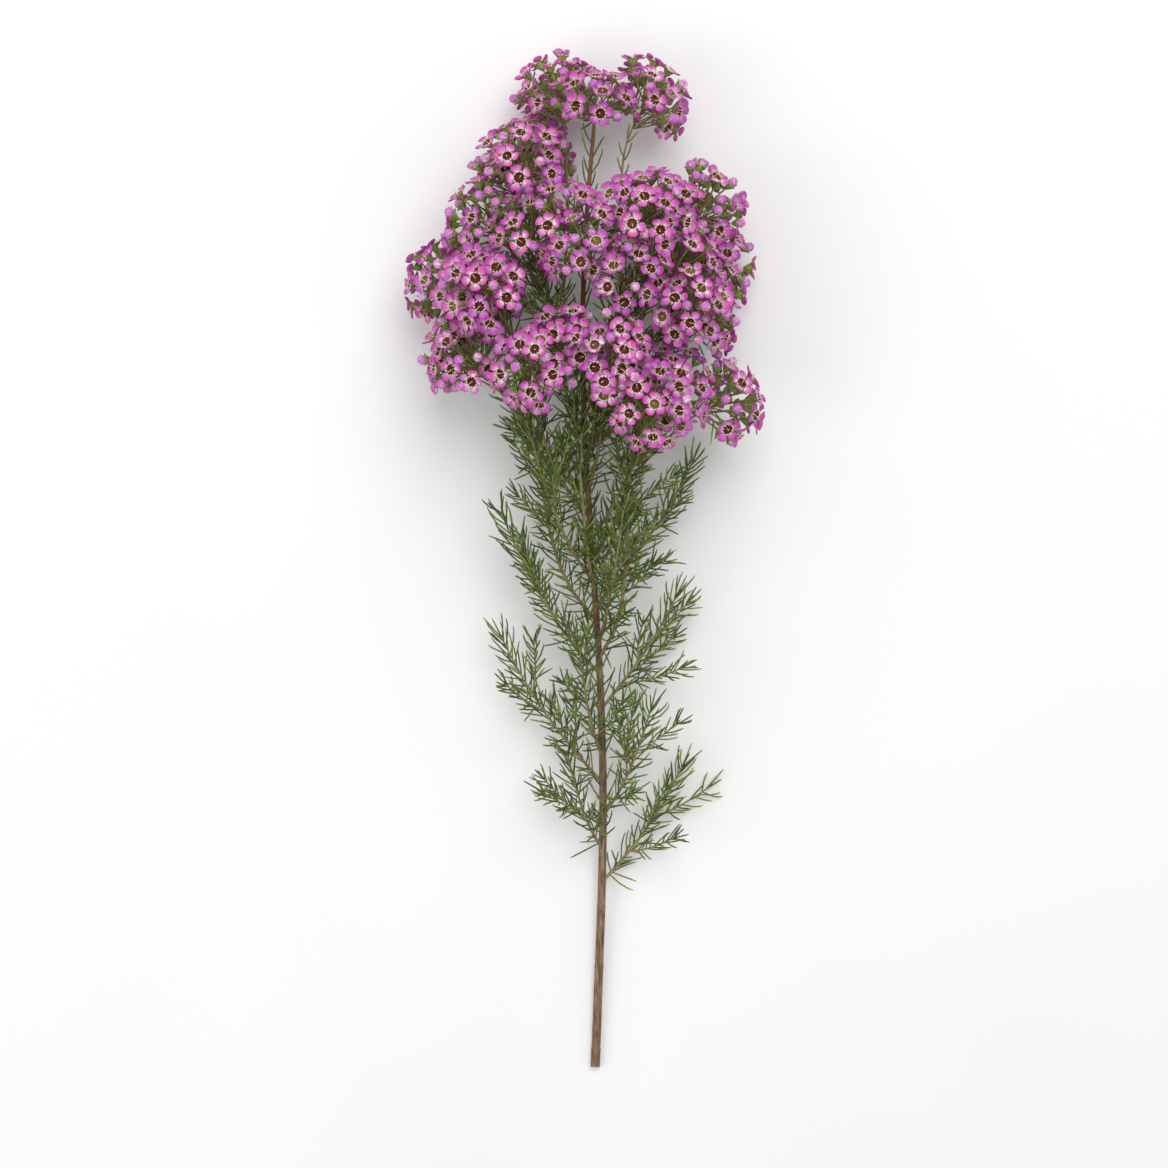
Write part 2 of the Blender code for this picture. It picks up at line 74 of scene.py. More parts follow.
GOLDEN_TURN = math.tau * (1 - GOLDEN_SHARE)

# Main stem
STEM_RUN = 0.555
CUT_RADIUS = 0.0027
STEM_TOP_RADIUS = 0.0011
STEM_RISE = 0.040
STEM_SWAY = 0.009
STEM_STEPS = 24
STEM_SIDES = 8
CUT_SLANT = 0.0016

# Side stems, and the head that their tips make up
SIDE_STEMS = 10
PLACE_JITTER = 0.008
BEARING_JITTER = 0.12
FIRST_TIP = 0.400
LAST_TIP = 0.520
LONGEST_REACH = 0.150
SHORTEST_REACH = 0.075
HEAD_HALF_WIDTH = 0.056
HEAD_HALF_HEIGHT = 0.033
LOWEST_BEARING = math.radians(-32)
BEARING_SWEEP = math.radians(244)
SIDE_STEM_RADII = (0.0011, 0.0008)

# Flower heads, a middle one and two side ones on each side stem
HEADS_ON_STEM = 3
HUB_RISE = 0.014
HUB_TO_TIP = 0.008
SIDE_HUB_REACH = 0.034
SIDE_HUB_LEAN = math.radians(54)
SIDE_HUB_TILT = math.radians(28)
HEAD_RADII = (0.0008, 0.0006)
LOWEST_HUB = 0.020

# Flowers
DOME_RADIUS = 0.023
DOME_LEAN = math.radians(74)
FLOWER_RADIUS = 0.0069
RIMS = {"open": (FLOWER_RADIUS, 0.0010), "half_open": (0.0046, 0.0036), "bud": (0.0024, 0.0026)}
CUP_HEIGHT = 0.0045
CUP_RADIUS = 0.0021
CUP_FOOT_RADIUS = 0.0007
STALK_RADIUS = 0.0005
STALK_ROOT_RADIUS = 0.0003
AXIL_SPREAD = 0.020
FORK_SHARE = 0.42
SHORTEST_FORKED_STALK = 0.011
WIDEST_FORK = math.radians(50)
NEAREST_IN_HEAD = 0.0136
NEAREST_BETWEEN_HEADS = 0.0143

# How flowers are drawn: first those that are solids, then more, which tuck in between and under them
SOLID = SimpleNamespace(
    places=14, offset=0.15, lean=DOME_LEAN, tiers=(1.0,), reach=(0.90, 1.10), own=0.7, shake=0.16, bud=0.06,
    half_open=0.07,
)
MORE = SimpleNamespace(
    places=34, offset=0.4, lean=math.radians(98), tiers=(1.0, 0.74, 0.88), reach=(0.94, 1.08), own=0.75,
    shake=0.2, bud=0.10, half_open=0.12,
)
FLOWER_TRIES = 16
MORE_TRIES = 8
MORE_FREEDOM = 0.9
NEAREST_MORE = 0.0101
NEAREST_BUD = 0.0072

# Leafy shoots
LEAFY_SHOOTS = 14
FIRST_LEAFY = 0.125
LAST_LEAFY = 0.385
LEAFY_LENGTH = 0.105
LEAFY_LEAN = math.radians(36)
LEAFY_BEARING = math.radians(-15)
LEAFY_SWEEP = math.radians(210)
LEAFY_RADII = (0.0010, 0.0005)
TWIGLETS_ON_SHOOT = 4
TWIGLETS_ON_STEM = 3
TWIGLET_LENGTH = 0.036
TWIGLET_RADII = (0.0006, 0.0004)
TWIGLET_LEAN = math.radians(36)

# Needle leaves
NEEDLE_LENGTH = 0.019
NEEDLE_RADIUS = 0.00055
NEEDLE_LEAN = math.radians(42)
NEEDLE_SPACING = 0.0048
NEEDLES_PER_SOLID_NEEDLE = 12
SMALL_NEEDLE_SHARE = 0.9
SMALL_NEEDLE_LENGTH = 0.0115
TUFT_SHARE = 0.995

# Clearances between pieces
SEAT_GAP = 0.0003
TWIG_GAP = 0.0010
LEAF_GAP = 0.0004
FLOOR_GAP = 0.0006
TABLE_REACH = 0.003
DEEPEST_SUNK = 0.009
MOST_TRIES = 60
MOST_RODS = 9000


def smooth(share):
    share = min(max(share, 0.0), 1.0)
    return share * share * (3 - 2 * share)


def turned_towards(heading, side, angle):
    """The heading, turned by an angle towards a direction square to it."""
    return (heading * math.cos(angle) + side * math.sin(angle)).normalized()


def square_to(direction, heading):
    """The part of a direction that is square to the heading."""
    return (direction - heading * direction.dot(heading)).normalized()


def beside(heading, turn, start=UP):
    """A direction square to the heading, turned about it from the start."""
    return Matrix.Rotation(turn, 3, heading) @ square_to(start, heading)


def shaken(dice, most):
    return Vector([dice.uniform(-most, most) for _ in range(3)])


def curve_points(start, start_pull, end_pull, end, count):
    """Points on a cubic curve after its start, up to its end."""
    points = []
    for step in range(1, count + 1):
        t = step / count
        s = 1 - t
        pulls = start_pull * (3 * t * s * s) + end_pull * (3 * t * t * s)
        points.append(start * s**3 + pulls + end * t**3)
    return points


def ring_corners(middle, heading, radius, sides, spin):
    """Corners of a ring, with its first one straight down when spin is 0."""
    down = square_to(-UP, heading) if abs(heading.z) < 0.999 else Vector((1, 0, 0))
    across = heading.cross(down)
    corners = []
    for side in range(sides):
        angle = spin + math.tau * side / sides
        corners.append(middle + (down * math.cos(angle) + across * math.sin(angle)) * radius)
    return corners


class Twig:
    """A round twig that tapers along its path."""

    def __init__(self, path, start_radius, end_radius):
        self.path = path
        steps = len(path) - 1
        taper = (end_radius - start_radius) / steps
        self.radii = [start_radius + taper * step for step in range(steps + 1)]

    def at(self, share):
        """The point, heading and radius at a share of the path."""
        place = share * (len(self.path) - 1)
        step = min(int(place), len(self.path) - 2)
        point = self.path[step].lerp(self.path[step + 1], place - step)
        heading = (self.path[step + 1] - self.path[step]).normalized()
        radius = self.radii[step] + (self.radii[step + 1] - self.radii[step]) * (place - step)
        return point, heading, radius

    def length(self):
        return sum((b - a).length for a, b in zip(self.path, self.path[1:]))

    def spans(self):
        """The start, end and larger radius of each stretch."""
        return list(zip(self.path, self.path[1:], self.radii))


class Piece:
    """What grew as one piece: a twig with the flowers and needle leaves on it."""

    def __init__(self, name, kind, twig, facing, outward=None):
        self.name = name
        self.kind = kind
        self.twig = twig
        self.facing = facing
        self.outward = outward
        self.twiglets = []
        self.flowers = []
        self.needles = []


class Room:
    """The round-ended rods that the pieces fill, so that what grows later keeps clear of them."""

    def __init__(self):
        self.rods = np.zeros((MOST_RODS, 7))
        self.owners = np.zeros(MOST_RODS, dtype=int)
        self.count = 0
        self.names = {}

    def number(self, owner):
        return self.names.setdefault(owner, len(self.names) + 1)

    def take(self, owner, start, end, radius):
        self.rods[self.count] = (*start, *end, radius)
        self.owners[self.count] = self.number(owner)
        self.count += 1

    def gap(self, owner, start, end, radius, carrier=None):
        """The smallest gap between a rod and the rods of all but its owner and its carrier."""
        owners = self.owners[: self.count]
        others = self.rods[: self.count][(owners != self.number(owner)) & (owners != self.number(carrier))]
        if not len(others):
            return 1.0
        a = np.array(start)
        along = np.array(end) - a
        first = others[:, :3]
        across = others[:, 3:6] - first
        offset = a - first
        along_sq = max(along @ along, 1e-12)
        across_sq = np.maximum((across * across).sum(1), 1e-12)
        dots = across @ along
        from_along = offset @ along
        from_across = (across * offset).sum(1)
        spread = np.maximum(along_sq * across_sq - dots**2, 1e-15)
        s = np.clip((dots * from_across - from_along * across_sq) / spread, 0, 1)
        t = np.clip((dots * s + from_across) / across_sq, 0, 1)
        s = np.clip((dots * t - from_along) / along_sq, 0, 1)
        apart = offset + s[:, None] * along - t[:, None] * across
        return float((np.sqrt((apart * apart).sum(1)) - others[:, 6]).min()) - radius

    def take_twig(self, owner, twig):
        for start, end, radius in twig.spans():
            self.take(owner, start, end, radius)


class Flower:
    """A flower, half-open flower or bud, on its stalk."""

    def __init__(self, root, foot, facing, kind, spin):
        self.root = root
        self.foot = foot
        self.facing = facing
        self.kind = kind
        self.spin = spin

    def middle(self):
        """The middle of the cup's mouth, where the petals start."""
        return self.foot + self.facing * CUP_HEIGHT

    def lowest(self):
        """The lowest corner of its solid round the stalk's end, the cup's mouth and the corolla's rim."""
        stalk = (self.foot - self.root).normalized()
        bend = (stalk + self.facing).normalized()
        rim_radius, rim_rise = RIMS[self.kind]
        rim = self.middle() + self.facing * rim_rise
        corners = ring_corners(self.foot, bend, CUP_FOOT_RADIUS, 3, self.spin)
        corners += ring_corners(self.middle(), self.facing, CUP_RADIUS, 5, self.spin)
        corners += ring_corners(rim, self.facing, rim_radius, 5, self.spin)
        return min(corner.z for corner in corners)


def main_stem_twig():
    """The woody stem: it rests on its cut end and rises to where the head carries it."""
    path = []
    for step in range(STEM_STEPS + 1):
        share = step / STEM_STEPS
        sway = STEM_SWAY * math.sin(share * 6.1) * (0.3 + 0.7 * share)
        path.append(Vector((sway, share * STEM_RUN, CUT_RADIUS + STEM_RISE * smooth(share / 0.85))))
    return Twig(path, CUT_RADIUS, STEM_TOP_RADIUS)


def branch_twig(parent, share, side, tip, end_heading, radii, count):
    """A twig that leaves its parent's skin square to it, then bends over and rises to its tip."""
    start_radius, end_radius = radii
    root, heading, parent_radius = parent.at(share)
    side = square_to(side, heading)
    start = root + side * (parent_radius + SEAT_GAP)
    neck = start + side * start_radius * 1.5
    reach = (tip - neck).length
    start_pull = neck + turned_towards(heading, side, math.radians(40)) * reach * 0.38
    path = [start, neck] + curve_points(neck, start_pull, tip - end_heading * reach * 0.35, tip, count)
    for point in path[2:]:
        point.z = max(point.z, start_radius + FLOOR_GAP)
    return Twig(path, start_radius, end_radius)


def twig_gap(room, name, twig, carrier, near_spans):
    """How near a twig comes to other pieces, and past its first stretches also to what carries it."""
    gaps = []
    for number, (a, b, radius) in enumerate(twig.spans()):
        gaps.append(room.gap(name, a, b, radius, carrier if number < near_spans else None))
    return min(gaps)


def grow_piece(room, pieces, kind, carrier, near_spans, least, draw):
    """One more piece of its kind, on the first twig drawn that keeps clear of all others."""
    name = f"{kind}_{len(pieces) + 1:02d}"
    for attempt in range(MOST_TRIES):
        twig, *ways = draw(random.Random(f"{name} {attempt}"))
        if twig_gap(room, name, twig, carrier.name, near_spans) > least:
            room.take_twig(name, twig)
            pieces.append(Piece(name, kind, twig, *ways))
            return


def side_stem_twig(main, number, dice):
    """A side stem's twig, its heading at its tip in the head, and the side that it leaves on."""
    level = (number + 0.5) / SIDE_STEMS
    tip_y = FIRST_TIP + (LAST_TIP - FIRST_TIP) * level + dice.uniform(-PLACE_JITTER, PLACE_JITTER)
    bearing = LOWEST_BEARING + BEARING_SWEEP * ((number * GOLDEN_SHARE + 0.30) % 1)
    bearing += dice.uniform(-BEARING_JITTER, BEARING_JITTER)
    outward = Vector((math.cos(bearing), 0, math.sin(bearing)))
    middle = main.at(tip_y / STEM_RUN)[0]
    swell = math.sqrt(1 - ((level - 0.35) / 0.85) ** 2) * dice.uniform(0.92, 1.08)
    tip = middle + Vector((outward.x * HEAD_HALF_WIDTH, 0, outward.z * HEAD_HALF_HEIGHT)) * swell
    tip.z = max(tip.z, LOWEST_HUB)
    heading = (outward * (0.85 - 0.35 * level) + FORWARD * (0.60 + 0.40 * level) + UP * 0.12).normalized()
    reach = LONGEST_REACH + (SHORTEST_REACH - LONGEST_REACH) * level
    share = (tip_y - reach) / STEM_RUN
    return branch_twig(main, share, outward, tip, heading, SIDE_STEM_RADII, 9), heading, outward


def middle_head(stem, heading):
    """The twig of the head that goes straight on from a side stem's tip."""
    tip, along, radius = stem.twig.at(1)
    start = tip + along * SEAT_GAP
    end = start + heading * (HUB_RISE + HUB_TO_TIP)
    path = [start] + curve_points(start, start + along * 0.007, end - heading * 0.007, end, 3)
    return Twig(path, radius, HEAD_RADII[1])


def side_head(stem, side, share, lean):
    """The twig of a head beside the middle one, from lower on the side stem."""
    tip = stem.twig.at(1)[0]
    hub = tip + turned_towards(stem.facing, side, lean) * SIDE_HUB_REACH
    hub.z = max(hub.z, LOWEST_HUB)
    facing = turned_towards(stem.facing, side, lean * 0.72)
    return branch_twig(stem.twig, share, side, hub + facing * HUB_TO_TIP, facing, HEAD_RADII, 5), facing


def head_twig(stem, place, tilt, dice):
    """The middle head of a side stem is at place 0, and the two beside it are at places 1 and 2."""
    if place == 0:
        facing = (stem.facing + shaken(dice, 0.25)).normalized()
        return middle_head(stem, facing), facing
    around = stem.facing.cross(stem.outward).normalized()
    across = stem.facing.cross(around).normalized()
    turn = tilt + dice.uniform(-0.5, 0.5)
    side = around * math.cos(turn) + across * math.sin(turn)
    share = 0.60 + 0.14 * place + dice.uniform(-0.05, 0.05)
    lean = SIDE_HUB_LEAN * dice.uniform(0.85, 1.15)
    return side_head(stem, side if place == 1 else -side, share, lean)


def leafy_twig(main, number, dice):
    level = number / (LEAFY_SHOOTS - 1)
    bearing = LEAFY_BEARING + LEAFY_SWEEP * ((number * GOLDEN_SHARE + dice.uniform(0, 0.12)) % 1)
    outward = Vector((math.cos(bearing), 0, math.sin(bearing) * 0.8))
    place = FIRST_LEAFY + (LAST_LEAFY - FIRST_LEAFY) * level + dice.uniform(-PLACE_JITTER, PLACE_JITTER)
    length = LEAFY_LENGTH * dice.uniform(0.72, 1.15) * (0.7 + 0.3 * math.sin(math.pi * level))
    share = place / STEM_RUN
    tip = main.at(share)[0] + turned_towards(FORWARD, outward, LEAFY_LEAN) * length
    heading = turned_towards(FORWARD, outward, LEAFY_LEAN * 0.7)
    return branch_twig(main, share, outward, tip, heading, LEAFY_RADII, 7), heading


def grow_stems_and_shoots(room, main):
    """The side stems, the heads on them and on the main stem, and the leafy shoots."""
    stems, heads, shoots = [], [], []
    for number in range(SIDE_STEMS):
        grow_piece(room, stems, "side_stem", main, 3, TWIG_GAP, partial(side_stem_twig, main.twig, number))
    for stem in [main] + stems:
        for place in range(HEADS_ON_STEM):
            tilt = SIDE_HUB_TILT if len(heads) % 2 else -SIDE_HUB_TILT
            near_spans = 1 if place == 0 else 3
            draw = partial(head_twig, stem, place, tilt)
            grow_piece(room, heads, "flower_head", stem, near_spans, TWIG_GAP, draw)
    for number in range(LEAFY_SHOOTS):
        draw = partial(leafy_twig, main.twig, number)
        grow_piece(room, shoots, "leafy_shoot", main, 3, TWIG_GAP * 2, draw)
    return stems, heads, shoots


def flower_root(head, foot, share):
    """Where a stalk starts: on the head's twig, or forking from the stalk of a flower nearby."""
    drop = AXIL_SPREAD * share / head.twig.length()
    root = head.twig.at(1 - min(drop, 0.6))[0]
    for other in head.flowers:
        stalk = other.foot - other.root
        fork = other.root + stalk * FORK_SHARE
        way = foot - fork
        if stalk.length < SHORTEST_FORKED_STALK or way.angle(stalk) > WIDEST_FORK:
            continue
        if way.length < (foot - root).length:
            root = fork
    return root


def drawn_flower(head, rule, place, freedom, dice):
    """A flower, half-open flower or bud at its place on the dome of a head."""
    lean = rule.lean * math.sqrt((place + rule.offset) / rule.places)
    turn = place * GOLDEN_TURN + dice.uniform(-freedom, freedom)
    direction = turned_towards(head.facing, beside(head.facing, turn), lean)
    hub = head.twig.at(1)[0] - head.facing * HUB_TO_TIP
    tier = rule.tiers[place % len(rule.tiers)]
    middle = hub + direction * DOME_RADIUS * tier * dice.uniform(*rule.reach)
    jitter = shaken(dice, rule.shake)
    facing = (direction * rule.own + head.facing * (1 - rule.own) + jitter).normalized()
    foot = middle - facing * CUP_HEIGHT
    age = dice.random()
    kind = "bud" if age < rule.bud else "half_open" if age < rule.bud + rule.half_open else "open"
    root = flower_root(head, foot, 0.15 + 0.85 * min(lean / DOME_LEAN, 1))
    return Flower(root, foot, facing, kind, dice.uniform(0, math.tau))


def flower_fits(room, head, flower):
    middle = flower.middle()
    if any((middle - other.middle()).length < NEAREST_IN_HEAD for other in head.flowers):
        return False
    stalk = (flower.foot - flower.root).normalized()
    if stalk.dot(flower.facing) < 0.25:
        return False
    start = flower.root + stalk * 0.001
    reach = NEAREST_BETWEEN_HEADS - FLOWER_RADIUS
    return (
        room.gap(head.name, middle, middle, reach) > 0
        and room.gap(head.name, start, flower.foot, STALK_RADIUS) > LEAF_GAP
        and room.gap(head.name, flower.foot, middle, CUP_RADIUS) > LEAF_GAP
    )


def grow_flowers(room, heads):
    """Flowers in rounds, so that the middle of each dome fills before the edges of any."""
    for place in range(SOLID.places):
        for head in heads:
            for attempt in range(FLOWER_TRIES):
                dice = random.Random(f"{head.name} flower {place} {attempt}")
                flower = drawn_flower(head, SOLID, place, 0.2 + 0.06 * attempt, dice)
                lowest = flower.lowest()
                if lowest < TABLE_REACH:
                    flower.foot = flower.foot - UP * lowest
                if lowest > -DEEPEST_SUNK and flower_fits(room, head, flower):
                    room.take(head.name, flower.middle(), flower.middle(), FLOWER_RADIUS)
                    room.take(head.name, flower.root, flower.foot, STALK_RADIUS)
                    room.take(head.name, flower.foot, flower.middle(), CUP_RADIUS)
                    head.flowers.append(flower)
                    break


def grow_twiglets(room, piece, count):
    """Short leafy twigs on a shoot or side stem, on alternate sides."""
    for number in range(count):
        dice = random.Random(f"{piece.name} twiglet {number}")
        root, heading, _ = piece.twig.at(0.22 + 0.5 * number / count + dice.uniform(0, 0.1))
        side = beside(heading, math.radians(150) * number + dice.uniform(0, 1.5))
        end_heading = turned_towards(heading, side, TWIGLET_LEAN * 0.7)
        tip = root + turned_towards(heading, side, TWIGLET_LEAN) * TWIGLET_LENGTH * dice.uniform(0.7, 1.2)
        start_pull = root + side * 0.006 + heading * 0.004
        path = [root] + curve_points(root, start_pull, tip - end_heading * 0.010, tip, 3)
        twiglet = Twig(path, *TWIGLET_RADII)
        if tip.z > TWIGLET_RADII[0] * 2 and twig_gap(room, piece.name, twiglet, None, 0) > TWIG_GAP:
            piece.twiglets.append(twiglet)
            room.take_twig(piece.name, twiglet)


def grow_needles(room, piece, twig, first_share, spacing, length):
    """Needle leaves in opposite pairs, each pair square to the one before."""
    pairs = int(twig.length() * (1 - first_share) / spacing)
    dice = random.Random(f"{piece.name} needles {len(piece.needles)}")
    for number in range(2 * pairs):
        pair, half = divmod(number, 2)
        share = first_share + (1 - first_share) * (pair + 0.5) / pairs
        root, heading, _ = twig.at(share)
        turn = math.radians(90 * (pair % 2) + 180 * half + 35) + dice.uniform(-0.25, 0.25)
        side = beside(heading, turn, LEANING_UP)
        way = turned_towards(heading, side, NEEDLE_LEAN * dice.uniform(0.75, 1.2) * (1 - 0.35 * share))
        tip = root + way * length * dice.uniform(0.70, 1.12)
        start = root + way * 0.002
        if tip.z > FLOOR_GAP and room.gap(piece.name, start, tip, NEEDLE_RADIUS) > LEAF_GAP:
            piece.needles.append((root, tip, side))
            room.take(piece.name, start, tip, NEEDLE_RADIUS)


def grow_plant():
    """The whole stem, before it is centred over its origin."""
    room = Room()
    main = Piece("main_stem", "main_stem", main_stem_twig(), (FORWARD + UP * 0.15).normalized(), UP)
    room.take_twig(main.name, main.twig)
    stems, heads, shoots = grow_stems_and_shoots(room, main)
    for pieces, count in ((shoots, TWIGLETS_ON_SHOOT), (stems, TWIGLETS_ON_STEM)):
        for piece in pieces:
            grow_twiglets(room, piece, count)
    grow_flowers(room, heads)
    for piece in shoots + stems:
        grow_needles(room, piece, piece.twig, 0.08, NEEDLE_SPACING, NEEDLE_LENGTH)
        for twiglet in piece.twiglets:
            grow_needles(room, piece, twiglet, 0.15, NEEDLE_SPACING, NEEDLE_LENGTH * 0.75)
    grow_needles(room, main, main.twig, 0.26, NEEDLE_SPACING * 1.8, NEEDLE_LENGTH)
    for head in heads:
        grow_needles(room, head, head.twig, 0.15, NEEDLE_SPACING * 1.6, NEEDLE_LENGTH * 0.6)
    return [main] + stems + heads + shoots


def more_flower_fits(room, middles, head, flower):
    middle = flower.middle()
    stalk = flower.foot - flower.root
    if flower.lowest() < TABLE_REACH or stalk.normalized().dot(flower.facing) < 0.2:
        return False
    nearest = NEAREST_BUD if flower.kind == "bud" else NEAREST_MORE
    if min((middle - other).length for other in middles) < nearest:
        return False
    bowl = middle + flower.facing * BOWL_RADIUS
    return (
        room.gap(head.name, flower.root + stalk * 0.1, flower.foot, STALK_RADIUS) > 0
        and room.gap("nobody", flower.root + stalk * 0.5, flower.foot, STALK_RADIUS) > 0
        and room.gap("nobody", flower.foot, bowl, BOWL_RADIUS * 0.8) > 0
    )


def take_flower(room, name, flower):
    room.take(name, flower.root, flower.foot, STALK_RADIUS)
    room.take(name, flower.foot, flower.middle() + flower.facing * CUP_RADIUS, CUP_RADIUS)


def room_of_twigs_and_flowers(plant):
    room = Room()
    for piece in plant:
        for twig in [piece.twig] + piece.twiglets:
            room.take_twig(piece.name, twig)
        for flower in piece.flowers:
            take_flower(room, piece.name, flower)
    return room


def drop_pushed_needles(plant, added):
    """The new flowers push needle leaves aside, but none of those that are solids."""
    for piece in plant:
        kept = []
        for number, (root, tip, side) in enumerate(piece.needles):
            is_solid = number % NEEDLES_PER_SOLID_NEEDLE == 0
            if is_solid or added.gap("nobody", root.lerp(tip, 0.1), tip, NEEDLE_RADIUS) > 0:
                kept.append((root, tip, side))
        piece.needles = kept


def grow_small_needles(room, head):
    """A short needle leaf on the lower half of most stalks."""
    for number, flower in enumerate(head.flowers):
        dice = random.Random(f"{head.name} small needle {number}")
        heading = (flower.foot - flower.root).normalized()
        side = beside(heading, dice.uniform(0, math.tau), LEANING_UP)
        way = turned_towards(heading, side, math.radians(dice.uniform(22, 50)))
        root = flower.root.lerp(flower.foot, dice.uniform(0.0, 0.5))
        tip = root + way * SMALL_NEEDLE_LENGTH * dice.uniform(0.7, 1.3)
        is_free = tip.z > FLOOR_GAP and room.gap("nobody", root.lerp(tip, 0.35), tip, 0) > 0
        if is_free and dice.random() < SMALL_NEEDLE_SHARE:
            head.needles.append((root, tip, side))


def grow_more_needles(room, piece, twig, first_share, length):
    """Shorter needle leaves halfway between the pairs, and a tuft at the tip."""
    dice = random.Random(f"{piece.name} more needles {len(piece.needles)}")
    pairs = int(twig.length() * (1 - first_share) / NEEDLE_SPACING)
    shares = [first_share + (1 - first_share) * (pair + 1) / pairs for pair in range(pairs) for _ in range(2)]
    for number, share in enumerate(shares + [TUFT_SHARE] * 2):
        root, heading, _ = twig.at(min(share, TUFT_SHARE))
        turn = math.radians(180 * number + 45 * (number // 2) + 80) + dice.uniform(-0.3, 0.3)
        side = beside(heading, turn, LEANING_UP)
        lean = math.radians(dice.uniform(46, 72)) * (1 - 0.5 * share**3)
        tip = root + turned_towards(heading, side, lean) * length * dice.uniform(0.55, 0.95)
        if tip.z > FLOOR_GAP and room.gap(piece.name, root.lerp(tip, 0.2), tip, 0) > 0:
            piece.needles.append((root, tip, side))


def grow_more(plant):
    """More flowers in every head, and needle leaves on their stalks, the side stems and the shoots."""
    heads = [piece for piece in plant if piece.kind == "flower_head"]
    room = room_of_twigs_and_flowers(plant)
    added = Room()
    middles = [flower.middle() for head in heads for flower in head.flowers]
    for place in range(MORE.places):
        for head in heads:
            for attempt in range(MORE_TRIES):
                dice = random.Random(f"{head.name} more {place} {attempt}")
                flower = drawn_flower(head, MORE, place, MORE_FREEDOM, dice)
                if more_flower_fits(room, middles, head, flower):
                    take_flower(room, head.name, flower)
                    take_flower(added, head.name, flower)
                    middles.append(flower.middle())
                    head.flowers.append(flower)
                    break
    drop_pushed_needles(plant, added)
    for piece in plant:
        if piece.kind == "flower_head":
            grow_small_needles(room, piece)
        elif piece.kind != "main_stem":
            grow_more_needles(room, piece, piece.twig, 0.08, NEEDLE_LENGTH)
            for twiglet in piece.twiglets:
                grow_more_needles(room, piece, twiglet, 0.15, NEEDLE_LENGTH * 0.8)


# Petals
PETALS = 5
PETAL_START = 0.0032
PETAL_END = 0.0077
PETAL_WIDTH = 0.0058
PETAL_THICKNESS = 0.00040
PETAL_DISH = 0.0010
PETAL_LIFT = 0.0006
PETAL_CURL = 0.0005
PETAL_SIDES = 12
PETAL_RINGS = ((0.70, -1), (1.00, 0), (0.86, 1), (0.45, 1))
TILTS = {"open": math.radians(13), "half_open": math.radians(56)}
FADES = {"open": 1.0, "half_open": 0.55}
VARIANTS = {"open": 8, "half_open": 4, "bud": 3}
BUD_RADIUS = 0.0029
BUD_SIDES = 20
BUD_CUP_SIZE = 0.85

# Bowl, with its collar, stamens and style
BOWL_RADIUS = 0.0031
BOWL_DEPTH = 0.0012
COLLAR_RADIUS = 0.0037
COLLAR_HEIGHT = 0.0009
STAMENS = 10
ANTHER_RADIUS = 0.00024
STYLE_HEIGHT = 0.0030
STYLE_LEAN = 0.0013
STYLE_RADII = (0.00042, 0.00032, 0.00028, 0.00036)

# Cup and one of its lobes, as the radius and height of each ring or point
CUP_PROFILE = (
    (0.00060, -0.00450),
    (0.00125, -0.00375),
    (0.00235, -0.00215),
    (0.00320, -0.00050),
    (0.00350, 0.00010),
    (0.00235, -0.00135),
)
CUP_UNDERSIDE = -0.0046
CUP_FLOOR = -0.0014
LOBE_PROFILE = ((0.0028, -0.0003), (0.0039, 0), (0.0045, 0.0003))
LOBE_RADII = (0.0008, 0.0006, 0.0002)

# Twigs, stalks, needle leaves and bark
TWIG_FINE_SIDES = 6
STALK_SIDES = 4
RING_SPACING = 0.0015
JOIN_DEPTH = 0.0010
JOIN_RUN = 0.0035
NODE_SWELL = 0.16
NODE_LENGTH = 0.0006
NEEDLE_BEND = 0.07
NEEDLE_SIDES = 3
BARK_SIDES = 24
BARK_RIDGE = 0.00010
SCAR_SPACING = 0.0075
SCAR_HEIGHT = 0.00030
SCAR_LENGTH = 0.0009
SLANT_RUN = 0.006
WOOD_SHARE = 0.93

# Corners lower than this are pressed up, so that none goes through the table
LOWEST = 0.0008


class Shape:
    """Corners, three values on each that colour it, and faces with the number of their material."""

    def __init__(self):
        self.corners = []
        self.values = []
        self.faces = []
        self.materials = []
        self.count = 0

    def add(self, corners, values, faces, materials):
        """Each face is four corner numbers, and the last of a triangle's is -1."""
        self.corners.append(corners)
        self.values.append(values)
        self.faces.append(np.where(faces < 0, -1, faces + self.count))
        self.materials.append(np.broadcast_to(materials, len(faces)))
        self.count += len(corners)

    def place(self, other, axes, middle, tone):
        """A copy of another shape, turned to three axes, moved to a middle and given its own tone."""
        corners = np.concatenate(other.corners) @ axes + np.array(middle)
        values = np.concatenate(other.values)
        values[:, 1] = tone
        self.add(corners, values, np.concatenate(other.faces), np.concatenate(other.materials))


def band_faces(grid):
    """Four-cornered faces between each row of corner numbers and the next."""
    after = np.roll(grid, -1, axis=1)
    return np.stack([grid[:-1], after[:-1], after[1:], grid[1:]], axis=-1).reshape(-1, 4)


def add_skin(shape, rings, start, end, reach, rib=0.0, material=0, tone=0.0):
    """A closed skin from a pole through rings to a pole, which have the mean values of their rings."""
    rows, sides, _ = rings.shape
    grid = np.arange(rows * sides).reshape(rows, sides)
    pole = np.full(sides, rows * sides)
    none = np.full(sides, -1)
    start_fan = np.stack([np.roll(grid[0], -1), grid[0], pole, none], axis=-1)
    end_fan = np.stack([grid[-1], np.roll(grid[-1], -1), pole + 1, none], axis=-1)
    values = np.stack(np.broadcast_arrays(reach, tone, rib, np.zeros((rows, sides)))[:3], axis=-1)
    poles = [values[0].mean(axis=0), values[-1].mean(axis=0)]
    corners = np.vstack([rings.reshape(-1, 3), start, end])
    faces = np.vstack([band_faces(grid), start_fan, end_fan])
    shape.add(corners, np.vstack([values.reshape(-1, 3), poles]), faces, material)


def around(count, start=0.0):
    return start + math.tau * np.arange(count) / count


def column(values):
    return np.array(values)[:, None]


